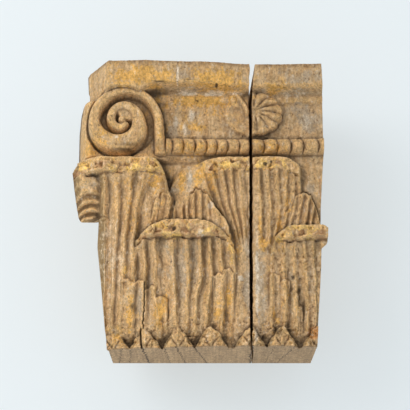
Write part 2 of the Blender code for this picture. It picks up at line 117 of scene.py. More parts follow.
def flutes(x, z, levels, ridges, seed):
    """Counts the flutes from the left, a whole number at each ridge, and gives their width where they are."""
    s = 0 * x + 0 * z
    width = s
    weight = s
    for left, right in zip(ridges[:-1], ridges[1:]):
        start = np.interp(z, levels, left)
        end = np.interp(z, levels, right)
        s = s + ((x - start) / (end - start)).clip(0, 1)
        near = within(start, end, x, 0.5 * (end - start)) + 0.001
        width = width + near * (end - start)
        weight = weight + near
    return s + 0.09 * noise(x, z, 14, 20, seed) + 0.06 * noise(x, z, 6, 9, seed + 100), width / weight


def rolled(low, high, value):
    """1 across the middle of a rounded roll and 0 at its two edges."""
    t = unit((value - low) / np.maximum(high - low, 0.5))
    return np.sqrt(unit(1 - (2 * t - 1) ** 4))


def bell(x):
    """Depth of the bell, the rounded ground of the leaves."""
    return BELL_DEPTH - (x - AXIS) ** 2 / (2 * BELL_RADIUS)


def swell(x):
    """How far the curved abacus comes forward away from the axis."""
    return np.minimum((x - AXIS) ** 2 / (2 * ABACUS_RADIUS), 12)


def overhang(x):
    """How much further the abacus stands out between its corner and the joint."""
    return 7 * fall(-10, 46, x) * rise(-110, -60, x)


def ground(x, z):
    """The plain block: bell, field, fillet, hollow and abacus with its cut-back corner."""
    depth = lay(bell(x), rise(44, 52, z), FIELD_DEPTH + swell(x))
    slip = np.interp(x, [-132, -115, -100, -76, -66, -56], [20, 17, 12, 9, 4, 0])
    level = z + slip * fall(122, 136, z)
    heights = [106.5, 109.5, 113.5, 115.8, 116.8, 118.8, 121.4, 123.4, 129, 138, 145]
    steps = [0, 3, 4.2, 3, 4, 8, 14, 16.6, 17.8, 18.6, 18]
    depth = depth + np.interp(level, heights, steps) + overhang(x) * rise(118, 125, level)
    chamfer = 2.07 * np.clip(-104.3 - x, 0, 30) + 1.5 * np.clip(-125.5 - x, 0, 6)
    return depth - rise(50, 52, z) * chamfer


# The volute's eye, and its band's radius, half width and height at each quarter turn from the stem inwards.
EYE_X = -90.2
EYE_Z = 86
TURN_STEPS = [0, 0.5, 1, 1.5, 2, 2.5, 3, 3.5, 4, 4.5, 5, 5.5, 6, 6.5, 7, 7.6]
TURN_RADII = [36.6, 33.9, 29.4, 27.4, 28.8, 27.5, 25.4, 21.2, 16, 15, 14.4, 12.7, 11.3, 9.6, 8.2, 5.6]
TURN_HALVES = [4.7, 4.6, 4, 6, 5.8, 9.9, 11.4, 10.1, 7.3, 6.2, 5.2, 5.1, 5.1, 4.9, 4.8, 3.4]
TURN_CRESTS = [13, 17, 19, 19, 18, 18, 19, 19, 18, 17.5, 17, 16.5, 16, 16, 16, 16]


def volute(x, z, depth):
    """The corner scroll: a band that leaves its stem at the right and winds in to the eye."""
    drum = FIELD_DEPTH + 6
    dx = x - EYE_X
    dz = z - EYE_Z
    radius = np.hypot(dx, dz)
    angle = np.mod(np.arctan2(dz, dx), 2 * np.pi)
    flank = drum + 3 - 0.16 * np.clip(-121 - x, 0, 20) ** 2 - 6 * rise(-62, -52, x)
    flank = flank + 3 * np.exp(-(((x + 124) / 6) ** 2) - ((z - 58) / 9) ** 2)
    beside = within(49, 110, z, 3) * fall(-108, -105, x)
    below = within(49, EYE_Z, z, 1.5) * fall(-47.5, -46, x)
    reach = 36 - 5 * within(0.45, 1.75, angle / QUARTER, 0.5)
    depth = lay(depth, np.maximum(np.maximum(beside, below), fall(reach, reach + 2, radius)), flank)
    depth = lay(depth, fall(reach - 2, reach + 1, radius), drum)
    for turn in range(2):
        quarter = angle / QUARTER + 4 * turn
        middle, half, crest = [np.interp(quarter, TURN_STEPS, row)
                               for row in (TURN_RADII, TURN_HALVES, TURN_CRESTS)]
        across = unit(np.abs(radius - middle) / half)
        groove = 5 * within(0, 2.6, radius - middle - half, 1.4) * within(1.35, 3.2, quarter, 0.3)
        depth = depth - groove
        band = drum + crest * (1 - across**4.5) ** 0.45
        depth = np.where((across < 1) & (quarter < 7.6), np.maximum(depth, band), depth)
    filled = np.maximum(fall(1.3, 1.7, angle / QUARTER), rise(3.75, 4, angle / QUARTER))
    filling = drum + 2 + 12.5 * filled
    depth = np.where(radius < 12.5, np.maximum(depth, filling), depth)
    eye = drum + 2 + 15 * np.sqrt(unit(1 - (radius / 5) ** 2.5))
    depth = np.where(radius < 5, np.maximum(depth, eye), depth)
    down = EYE_Z - z
    across = unit(np.abs(dx - TURN_RADII[0] - 0.055 * down) / (TURN_HALVES[0] + 0.035 * down))
    stem = drum - 3 + (9 + 7 * rise(51, 64, z)) * (1 - across**4.5) ** 0.45
    return np.where((across < 1) & (z < EYE_Z) & (z > 51.5), np.maximum(depth, stem), depth)


def beads(x, z, depth):
    """The course of close-set beads under the field."""
    middle = 61.2
    half = 8.4
    up = np.clip((z - middle) / half, -1, 1)
    bow = 2.2 * (1 - up**2)
    s = np.where(x < AXIS - 3, (x + 41.8 - bow) / 11.4, (x - 50.7 - bow) / 14.1)
    s = s + 0.10 * noise(x, 0 * x, 12, 1, 3)
    bead = (1 - np.abs(2 * (s - np.floor(s)) - 1) ** 2.4) ** 0.5
    form = FIELD_DEPTH + swell(x) + 0.5 + 11.5 * (1 - np.abs(up) ** 2.2) ** 0.5 * (0.15 + 0.85 * bead)
    return lay(depth, within(middle - half, middle + half, z, 0.8) * rise(-47.5, -45.5, x), form)


def rosette(x, z, depth):
    """Petals round the axis: whole to the right of the joint, broken off nearly flush to the left of it."""
    dx = (x - AXIS) / 30.5
    dz = (z - 96) / 23.5
    r = np.hypot(dx, dz)
    turn = np.arctan2(dz, dx) + 0.22 * r
    wave = np.abs(np.cos(6.5 * turn + 0.35 + 0.25 * noise(x, z, 9, 9, 6)))
    edge = 0.94 + 0.06 * wave**0.6
    inside = fall(0.95, 1, r / edge)
    dome = FIELD_DEPTH + 7 + 6.5 * unit(1 - (r / edge) ** 2) ** 0.4
    form = dome + (3.4 * wave**0.8 - 3) * rise(0.08, 0.4, r) + 0.8 * noise(x, z, 4, 3, 7)
    depth = lay(depth, inside * (x > JOINT_X), form)
    scar = FIELD_DEPTH + 2.6 + 2 * (1 - r**2).clip(0) + 1.2 * noise(x, z, 7, 5, 4)
    scar = scar + 1 * within(0.84, 1, r, 0.16) * (0.5 + 0.5 * noise(x, z, 9, 9, 9))
    depth = lay(depth, fall(0.90, 1.02, r) * (x <= JOINT_X), scar)
    ragged = 2.5 * noise(x, z, 4, 4, 8)
    stub = within(18.5, 30, x + ragged, 4) * within(104, 116.5, z + ragged, 4)
    depth = lay(depth, stub, FIELD_DEPTH + 7.5 + 1.2 * noise(x, z, 3, 3, 5))
    petal = np.abs(x - 37 + 0.020 * (z - 92) ** 2) / 2.6
    rim = FIELD_DEPTH + 9.5 - 3 * np.minimum(petal, 1) ** 2
    return lay(depth, fall(0.8, 1.1, petal) * within(94, 117, z, 4) * (x <= JOINT_X), rim)


def ribs(x, z, depth, edges, tops, height, fade, lean=0):
    """Lobes side by side, raised on what is there: lobe i has edges i and i + 1 and a worn top."""
    raised = depth
    for left, right, top in zip(edges[:-1], edges[1:], tops):
        half = (right - left) / 2
        across = unit(np.abs(x - lean * (z - top) - left - half) / half)
        worn = 1.6 * noise(x, 0 * x, 3.5, 1, int(left) % 50)
        mask = (across < 1) * fall(-1.4, 1.4, z - top + worn + 0.5 * half * across**2)
        bulge = height * (0.45 + 0.55 * np.sqrt(1 - across**2.5)) + 0.5 * noise(x, z, 2.5, 9, 55)
        raised = np.where(mask > 0, depth + mask * bulge * fall(0, fade, top - z), raised)
    return raised


def lip(x, z, depth, span, crest, left, right, seed, soft=1.5):
    """The curled-over edge of a leaf, a roll with a worn, lumpy skin."""
    low, top = span
    mask = within(left, right, x, soft) * rise(-1, 0.6, z - low) * fall(-0.8, 0.4, z - top)
    form = crest - 8 * (1 - rolled(low - 3, top, z)) + 1.3 * noise(x, z, 6.5, 5, seed)
    return lay(depth, mask, form)


# Each lip gives the z of its lower and of its upper edge.
def centre_lip(x):
    droop = 8.5 * unit((x - 64) / 25) ** 2 + 5 * unit((14 - x) / 30) ** 2
    return 35.6 - 0.8 * droop + 0.8 * noise(x, 0 * x, 7, 1, 91), 48.8 - droop


def corner_lip(x):
    top = 45.4 - 12 * unit((-131 - x) / 11) ** 2 - 26 * unit((x + 68) / 24) ** 4
    low = np.minimum(30, top - 11 + 6 * rise(-60, -48, x)) + 2 * unit((-125 - x) / 15)
    return low + 0.8 * noise(x, 0 * x, 7, 1, 92), top


def lower_lip(x):
    top = -18.6 - 19 * unit((-38 - x) / 37) ** 2.2 - 22 * unit((x + 20) / 42) ** 2.4
    low = np.minimum(-36.2, top - 5)
    return low + 1.2 * noise(x, 0 * x, 6, 1, 93), top


def edge_lip(x):
    top = -24.5 - 11 * unit((82 - x) / 19) ** 2.2 - 3 * unit((x - 110) / 5) ** 2
    return np.minimum(-39, top - 6) + 1 * noise(x, 0 * x, 6, 1, 94), top


def fluted(x, z, levels, ridges, face, low, seed):
    """A leaf's face: gouged flutes that end in small hollows where the face curls out to the lip."""
    curl = 7 * rise(-20, 1, z - low) ** 1.6
    s, width = flutes(x, z, levels, ridges, seed)
    cut = FLUTE_CUT * np.clip(width / 11.5, 0.4, 1.1) * (1 + 0.25 * noise(x, z, 13, 30, seed + 2))
    return face + curl - cut * (1 - 0.5 * rise(-3, 0, z - low)) * gouged(s)


# Each leaf's ridges, from the left, as x at the levels above them.
CENTRE_LEVELS = [-42, -2, 46]
CENTRE_RIDGES = [[18, 0, -14], [22, 9.8, -3], [28, 17, 8], [31, 23, 18], [34, 29.8, 28], [50, 50, 47],
                 [58, 59.5, 55], [64, 68.5, 64], [70, 74.5, 75], [76, 83.5, 82], [84, 92, 88.5]]


def centre_leaf(x, z, depth):
    """The upper leaf on the axis, crossed by the joint, and the slope that runs down from it to the left."""
    shoulder = np.interp(x, [-46, -43, -38, -33, -25, -10, 2], [12, 19, 31, 37, 42, 45, 47])
    slope = BELL_DEPTH - 1 + 6 * rise(-46, 4, x) + 4 * fall(-4, 26, z) + 2 * rise(36, 44, z)
    depth = lay(depth, within(-46, 20, x, 5) * (z > -40) * fall(-9, 3, z - shoulder), slope)
    a = (x - AXIS) / 45
    face = BELL_DEPTH + np.interp(z, [-145, -60, -20, 20, 45], [2, 2, 5, 8, 9])
    face = face - 4 * np.minimum(np.abs(a), 1.4) ** 3
    form = fluted(x, z, CENTRE_LEVELS, CENTRE_RIDGES, face, centre_lip(x)[0], 11)
    form = lay(form, fall(-48, -28, z), face - 0.8)
    left = np.interp(z, CENTRE_LEVELS, CENTRE_RIDGES[0])
    right = np.interp(z, CENTRE_LEVELS, CENTRE_RIDGES[-1])
    mask = rise(-1, 7, x - left) * fall(-1.5, 1.5, x - right)
    mask = mask * fall(-2, 0, z - centre_lip(x)[1])
    depth = lay(depth, mask, form)
    crest = LIP_DEPTH - 11.5 - 7 * fall(-10, 18, x)
    return lip(x, z, depth, centre_lip(x), crest, -4, 89, 12, 12)


CORNER_LEVELS = [-145, -30, 0, 33]
CORNER_RIDGES = [[-117, -118, -118, -122], [-106, -107, -107, -107], [-100, -95.6, -93.6, -95.5],
                 [-91, -86, -83, -79], [-80, -77, -73.8, -65], [-68, -62, -54, -47]]


def tip_fold(x, z):
    """0 to 1 up each of the hollows across the hanging tip."""
    fold = (z + 12 + 0.03 * (x + 125) ** 2) / 9
    return fold - np.floor(fold)


def corner_leaf(x, z, depth):
    """The leaf at the left corner, its near half fluted, its far half seen as a hanging tip."""
    right = np.interp(z, [-145, -50, -38, -18, 6, 12, 26, 34], [-60, -60, -50, -39, -39, -43, -45, -46])
    face = BELL_DEPTH + np.interp(z, [-145, -100, -20, 28], [-7, -3, 5, 13])
    face = face + 6 * (1 - ((x + 82) / 34) ** 2)
    face = face - 0.25 * np.clip(-107 - x, 0, 40) ** 1.6
    form = fluted(x, z, CORNER_LEVELS, CORNER_RIDGES, face, np.minimum(corner_lip(x)[0], 30), 21)
    top = np.minimum(34, corner_lip(x)[1])
    depth = lay(depth, fall(-1.5, 1.5, x - right) * fall(-2, 0, z - top), form)
    depth = ribs(x, z, depth, [-57, -50, -44, -38.5], [4, 11, 11.5], 3, 45, lean=0.17)
    f = tip_fold(x, z)
    scoop = np.interp(z, [-16, 8, 15, 21, 30], [4.8, 4.2, 2.2, 1, 0.5]) * np.sin(np.pi * f**1.7) ** 0.9
    tip = BELL_DEPTH + 2 + 9 * rise(4, 31, z) - scoop - 0.22 * np.clip(-128 - x, 0, 20) ** 1.7
    edge = np.interp(z, [-18, 6, 22, 36], [-114, -112, -111.5, -116])
    depth = lay(depth, fall(-5, 3, x - edge) * rise(-14, -12.6, z) * fall(31, 33, z), tip)
    crest = LIP_DEPTH - 29 * unit((-112 - x) / 28) ** 1.5 - 8 * rise(-62, -46, x)
    return lip(x, z, depth, corner_lip(x), crest, -145, -44.5, 22)


LOWER_LEVELS = [-145, -96, -72, -38]
LOWER_RIDGES = [[-80, -78, -77, -77], [-68, -67, -66, -67], [-54, -54, -55, -57], [-35, -36, -37.2, -40.8],
                [-26, -23, -23.4, -25], [-17.6, -14.5, -10, -12.2], [-8, -2, 0.8, -1.1], [8, 11, 11.8, 8.1],
                [18, 22.4, 24, 21]]
LOWER_CREST = [-38.2, -29.8, -24.4, -17.5, -10.7, -3.8, 6, 16]


def lower_crown(x):
    """z of the top of the lower leaf's lobed crest."""
    along = [-38, -35, -30, -25.7, -22.6, -18, -16.5, -11, -8, -4.2, -2.2, 2, 3.9, 9.6, 15, 17.2, 18]
    up = [-3, -2, -1, 3.5, 8.3, 13, 15.5, 16, 11.5, 10.7, 5.9, 1.6, -3.6, -9.9, -17, -23.3, -30.4]
    return np.interp(x, along, up) + 1.2 * noise(x, 0 * x, 2.6, 1, 34)


def lower_leaf(x, z, depth):
    """The leaf of the lower row, with its lobed crest above the lip."""
    crown = lower_crown(x)
    s = np.interp(x + 0.05 * (z + 8), LOWER_CREST, range(len(LOWER_CREST))) + 0.10 * noise(x, z, 5, 8, 35)
    step = 2 * rise(-30, -8, x) + 2.5 * rise(-8, 2, x)
    form = BELL_DEPTH + 7 + step - (3.4 - 2 * rise(-4, 4, x)) * gouged(s) + 0.6 * noise(x, z, 5, 7, 36)
    bed = within(-38.5, 19, x, 1) * (z > -45)
    bed = bed * fall(-1.6 - 4 * fall(-30, -14, x), 0.8, z - crown)
    depth = lay(depth, bed, form + 2 * fall(-30, -12, z))
    left = np.interp(z, [-145, -80, -76, -45, -36], [-89, -89, -75.5, -75.5, -70])
    right = np.interp(z, [-145, -100, -69, -50, -40, -30], [19, 22, 24.5, 24, 19, 10])
    face = BELL_DEPTH + np.interp(z, [-145, -110, -60, -38], [6, 8, 11, 13]) - 6 * ((x + 26) / 52) ** 2
    inside = rise(-2.5, 2, x - left) * fall(-2, 1.5, x - right) * fall(-34, -31, z)
    depth = lay(depth, inside, fluted(x, z, LOWER_LEVELS, LOWER_RIDGES, face, lower_lip(x)[0], 31))
    crest = LIP_DEPTH - 8 * rise(-50, -75, x) - 13 * rise(0, 20, x)
    return lip(x, z, depth, lower_lip(x), crest, -75.5, 22, 32)


EDGE_LEVELS = [-145, -75, -38]
EDGE_RIDGES = [[59.5, 59.5, 60], [74, 74, 72], [84.5, 84.5, 82], [96, 95.3, 92], [103, 103, 101],
               [110, 110, 112]]
EDGE_CREST = [60.5, 67.6, 75, 81.4, 87.6, 95, 101.5, 108]


def edge_crown(x):
    """z of the top of the cut leaf's crest."""
    along = [60, 66, 72, 75, 82, 84, 92, 100.5, 102.3, 105.4, 107.8, 109.5, 113]
    up = [-30, -12, -12, -6, 0, 7.5, 13, 10.3, 3.7, -2.9, -12.8, -20, -26]
    return np.interp(x, along, up) + 1.2 * noise(x, 0 * x, 2.6, 1, 44)


def edge_leaf(x, z, depth):
    """The next lower leaf, cut through by the flat right face."""
    crown = edge_crown(x)
    s = np.interp(x - 0.19 * (z + 12), EDGE_CREST, range(len(EDGE_CREST))) + 0.10 * noise(x, z, 5, 8, 45)
    form = BELL_DEPTH + 7.5 - 3 * rise(90, 112, x) - 3.4 * gouged(s) + 0.6 * noise(x, z, 5, 7, 46)
    bed = rise(60, 63, x) * fall(-1.6 - 3 * fall(74, 90, x), 0.8, z - crown) * (z > -45)
    depth = lay(depth, bed, form)
    left = np.interp(z, [-145, -74, -70, -45, -38], [57, 57, 61, 59, 64])
    face = BELL_DEPTH + np.interp(z, [-145, -110, -60, -38], [4, 6, 9, 12]) - 4 * ((x - 108) / 48) ** 2
    form = fluted(x, z, EDGE_LEVELS, EDGE_RIDGES, face, edge_lip(x)[0], 41)
    depth = lay(depth, rise(-2.5, 2, x - left) * fall(-36, -34, z), form)
    return lip(x, z, depth, edge_lip(x), LIP_DEPTH - 2 - 6 * rise(82, 64, x), 63, 200, 42)


def side_lobes(x, z, depth):
    """The stepped small lobes at both sides of each lower leaf."""
    depth = ribs(x, z, depth, [-89.6, -77, -65.9, -55.2, -43.9], [-77, -77.5, -84.5, -94], 3.6, 55)
    depth = ribs(x, z, depth, [1.4, 11.3, 22.4], [-71.5, -67.1], 3.2, 50)
    return ribs(x, z, depth, [57.6, 68.3, 78.4, 85.8, 90.2], [-70.4, -76.6, -88.9, -104.8], 3.6, 55)


FOOT_LEAVES = [-97, -65.9, -33.3, -0.3, 38.3, 69.6, 104]


def foot_row(x, z, depth):
    """The row of small pointed leaves along the foot, each with a middle rib and a fold to each side."""
    depth = lay(depth, 0.9 * fall(-139, -124, z), bell(x) - 3)
    for middle in FOOT_LEAVES:
        across = np.abs(x - middle + 1.2 * noise(x, z, 7, 7, 51)) / 16.2
        edge = -124.4 - 21.5 * across**1.35 + 1.3 * noise(x, z, 4, 4, 52)
        face = bell(x) + 11.5 - 3 * across + 1 * noise(x, z, 6, 5, 53)
        fold = np.abs(z + 134.4 + 26 * np.abs(across - 0.45))
        face = face - 2.4 * fall(0, 2.6, fold) + 1.3 * fall(0, 0.12, across)
        depth = np.maximum(depth, lay(depth, rise(-0.6, 0.8, edge - z) * (across < 1.15), face))
    return depth


def relief(x, z):
    """Depth of the carved front, each form laid over those before it."""
    depth = ground(x, z)
    for form in (beads, rosette, volute, centre_leaf, corner_leaf, lower_leaf, edge_leaf, side_lobes,
                 foot_row):
        depth = form(x, z, depth)
    return depth


def left_edge(z):
    """The left outline of the carved front, from the foot up."""
    heights = [-145, -107, -70, -41.5, -14, -12.6, -6, 6.5, 21.5, 34.5, 44, 46.5, 84.5, 100, 106, 110.5,
               113, 122, 126, 145]
    edges = [-104, -107.6, -111.5, -114.8, -113.5, -130.7, -134, -136.4, -139.4, -141, -138.4, -137.5,
             -137.3, -134.8, -131.8, -127, -125.4, -126, -127.5, -128.8]
    return np.interp(z, heights, edges)


def left_wall(z):
    """The plainer return behind the corner, with the same mouldings run round it."""
    heights = [-145, -107, -70, -16, 20, 30, 38, 45, 51, 53, 66, 68, 112, 117, 119.5, 127, 145]
    walls = [-102.5, -105, -108, -111, -112, -116, -116, -110, -110, -115, -115, -110, -110, -112, -120,
             -122, -124]
    return np.interp(z, heights, walls)


def right_wall(z):
    """The flat sawn right face."""
    heights = [-145, -99, -65, -25, 0, 52, 112, 145]
    return np.interp(z, heights, [103.7, 106.9, 109, 109.8, 110.6, 114, 113.6, 112])


def right_edge(z):
    """The same face at the front, where the lip of the cut leaf stands out of it."""
    return right_wall(z) + 5.6 * rise(-47, -41, z) * fall(-28, -23, z)


def joint(z, fraction, right):
    """x of one face of the opened joint, at a fraction of the way from the back to the front."""
    front = JOINT_X + np.interp(z, [-145, 54, 121, 145], [-2.4, -1.6, -1.7, -1])
    gape = JOINT_GAP * np.interp(z, [-145, -120, 0, 118, 145], [0.6, 0.97, 1, 1.03, 1.64])
    back = JOINT_GAP * np.interp(z, [-145, -60, 60, 145], [0.15, 0.36, 0.48, 0.67])
    lean = np.interp(z, [-145, -100, -20, 145], [3.2, 1, -2.2, -2.2])
    middle = front + gape / 2 + lean * (1 - fraction)
    width = back + (gape - back) * fraction
    return middle + (width / 2 if right else -width / 2)


def sag(x, z):
    """How far the hanging tip at the left dips, so that its hem rises towards the block."""
    return 0.3 * np.clip(x + 113.5, -30, 0) * within(-40, 16, z, 24)


def side_start(z):
    """The share of the way forward where the left return starts to lean out to the front edge."""
    return np.interp(z, [-16, 0, 20, 34, 50], [0.88, 0.85, 0.78, 0.58, 0.45])


def facets(x, z, cell, seed):
    """Broken facets: a tilted height for each, and the facet's own number between -1 and 1."""
    rng = np.random.default_rng(seed)
    jitter = rng.uniform(0.1, 0.9, (LATTICE, LATTICE, 2))
    level = rng.uniform(-1, 1, (LATTICE, LATTICE))
    tilt = rng.uniform(-0.8, 0.8, (LATTICE, LATTICE, 2))
    column = np.floor(x / cell).astype(int)
    row = np.floor(z / cell).astype(int)
    nearest = np.full(np.shape(x), 9.0)
    value = np.zeros(np.shape(x))
    own = np.zeros(np.shape(x))
    for i in (-1, 0, 1):
        for j in (-1, 0, 1):
            a, b = (column + i) % LATTICE, (row + j) % LATTICE
            dx = x / cell - (column + i) - jitter[a, b, 0]
            dz = z / cell - (row + j) - jitter[a, b, 1]
            distance = dx**2 + dz**2
            closer = distance < nearest
            nearest = np.where(closer, distance, nearest)
            value = np.where(closer, level[a, b] + tilt[a, b, 0] * dx + tilt[a, b, 1] * dz, value)
            own = np.where(closer, level[a, b], own)
    return value, own


def smooth(field, radius):
    """A box blur over rows and columns of the grid."""
    wide = 2 * radius + 1
    for axis in (0, 1):
        pad = [(0, 0), (0, 0)]
        pad[axis] = (radius + 1, radius)
        total = np.cumsum(np.pad(field, pad, mode="edge"), axis=axis)
        field = (np.take(total, range(wide, total.shape[axis]), axis=axis)
                 - np.take(total, range(0, total.shape[axis] - wide), axis=axis)) / wide
    return field


def patch(x, z, left, right, low, top, soft_x, soft_z):
    """1 in a box of the front, with soft sides."""
    return within(left, right, x, soft_x) * within(low, top, z, soft_z)


# Each lip with its left and right end, and how broken its smoother top is.
LIPS = [(centre_lip, -3, 88, 0.35), (corner_lip, -141, -44, 0.25), (lower_lip, -75, 22, 0.8),
        (edge_lip, 63, 116, 0.8)]
LIP_CHIPS = (7.2, 65)  # cell and seed of the lips' large chips, whose numbers the material reads too


def lip_zone(x, z):
    """1 on the broken fronts of the leaves' curled lips, less on their smoother tops and 0 elsewhere."""
    zone = np.zeros(np.shape(x))
    for span, left, right, smoother in LIPS:
        low, top = span(x)
        here = within(left, right, x, 3) * rise(-3, -1, z - low) * fall(-1, 1, z - top)
        here = here * (1 - (1 - smoother) * rise(0.45, 0.7, (z - low) / (top - low)))
        zone = np.maximum(zone, here)
    return zone


# Each drying crack: x of its middle, z of its foot and top, half its width, and its depth.
SPLITS = [(-67.2, -126, -79, 0.6, 4.5), (-69.6, -146, -125, 0.7, 6),
          (-34.3, 121, 146, 0.8, 1.2), (-99, -146, -112, 0.6, 0.8),
          (24, -120, -70, 0.5, 0.8), (86, -140, -60, 0.5, 0.7)]


def splits(x, z):
    """Drying cracks along the grain, as a depth in millimetres."""
    cut = np.zeros(np.shape(x))
    wander = 0.9 * noise(z, 0 * z, 9, 1, 84) + 0.4 * noise(z, 0 * z, 3, 1, 85)
    for middle, low, top, half, depth in SPLITS:
        here = within(low, top, z, 4) * np.exp(-(((x - middle - wander) / half) ** 2))
        cut = np.maximum(cut, depth * here)
    return cut


CREST_CUTS = [(lower_crown, -21, 17), (edge_crown, 90, 110)]
LOBE_CUTS = [(-43.9, -118, -97), (-55.2, -94, -86), (90.2, -120, -106), (85.8, -104, -90)]


def undercuts(x, z):
    """The sharp cuts along the two crests and beside the side lobes, where what is behind is cut away."""
    total = np.zeros(np.shape(x))
    for crown, start, end in CREST_CUTS:
        total = np.maximum(total, within(0, 2.4, z - crown(x), 1) * within(start, end, x, 4))
    for right, low, top in LOBE_CUTS:
        away = x - right - 1.5 * noise(z, 0 * z, 5, 1, 86)
        total = np.maximum(total, 0.7 * within(0, 1.8, away, 0.8) * within(low, top, z, 9))
    return 3 * total


def scoops(x, z):
    """1 in the hollows across the hanging tip of the corner leaf, which get painted shade."""
    hollow = np.sin(np.pi * tip_fold(x, z) ** 1.7) ** 2
    return hollow * within(-142, -113, x, 4) * np.interp(z, [-17, -16, 10, 16, 24], [0, 1, 0.9, 0.35, 0])


def weathering(x, z):
    """How far the carving's ridges have crumbled away, from 0 to 1."""
    worn = 0.9 * patch(x, z, 56, 120, -120, -40, 8, 8)
    worn = worn * (1 - 0.7 * fall(-74, -66, z) * within(54, 93, x, 4))
    worn = np.maximum(worn, 0.6 * patch(x, z, 44, 90, -40, 26, 8, 8))
    return np.maximum(worn, 0.5 * patch(x, z, -42, 1, -124, -94, 8, 12))


def lumps(x, z, carved):
    """The worn, uneven skin of old carved wood, in millimetres, most broken along the ridges and the lips."""
    broad = 0.50 * noise(x, z, 8, 15, 61) + 0.34 * noise(x, z, 3.4, 7, 62)
    fine = 0.28 * noise(x, z, 1.9, 4.2, 63) + 0.16 * noise(x, z, 1.1, 2.6, 64)
    crumbs = 0.5 * rise(0.40, 0.70, noise(x, z, 2.2, 2.8, 68))
    crumbs = crumbs + 1.1 * rise(0.25, 0.6, noise(x, z, 2.6, 2.4, 78)) * fall(-122, -114, z)
    calm = 1 - 0.6 * fall(36, 39, np.hypot(x - EYE_X, z - EYE_Z))
    # The lips' chips, and the broken small leaves of the foot.
    chips = 2.6 * facets(x, z, *LIP_CHIPS)[0] + 0.8 * facets(x, z, 3.1, 66)[0] - 1.4
    chips = chips * rise(-0.9, 0, noise(x, z, 11, 9, 67))
    broken = 1.5 * facets(x, z, 5, 69)[0] + 0.8 * facets(x, z, 2.6, 70)[0]
    broken = broken * fall(-124, -112, z)
    broken = broken * (1 - 0.6 * rise(-118, -124, z) * rise(0.2, 0.8, noise(x, z, 20, 9, 73)))
    # Nicked ridges, and worn beads and petals.
    proud = rise(0.25, 1.2, carved - smooth(carved, 5)) * (z < 48)
    nicks = proud * (0.9 * facets(x, z, 3.4, 74)[0] - 0.5) * rise(-0.4, 0.3, noise(x, z, 5, 8, 75))
    bead_row = patch(x, z, -38, 120, 60, 74, 2, 2)
    petals = patch(x, z, AXIS + 1, 78, 78, 116, 2, 2) * (carved > FIELD_DEPTH + 2)
    worn = (0.9 * facets(x, z, 5.2, 76)[0] + 0.5) * bead_row
    worn = worn + (1.3 * noise(x + 0.5 * z, z, 9, 4.5, 77) - 0.4) * petals
    # Ridges sharper than the smooth carving, or crumbled away where the leaves are weathered.
    weathered = weathering(x, z)
    crisp = np.clip(carved - smooth(carved, 3), -0.7, 1.1) * (z < 46) * (z > -128)
    flat = np.clip(smooth(carved, 5) - carved, -1.6, 1.6) * 0.5
    crumbly = 1.1 * facets(x, 0.6 * z, 3, 79)[0] + 0.6 * noise(x, z, 1.7, 3.4, 80)
    crisp = crisp * (1 - weathered) + (flat + crumbly) * weathered
    # The broken left end of the lower lip.
    stub = patch(x, z, -84, -70, -60, -35, 3, 3)
    worn = worn - stub * np.clip(carved - smooth(carved, 12), 0, 8)
    skin_deep = crisp + (broad + fine + crumbs) * calm + lip_zone(x, z) * chips + worn
    return skin_deep + broken + nicks - splits(x, z) - undercuts(x, z) * (1 - stub)
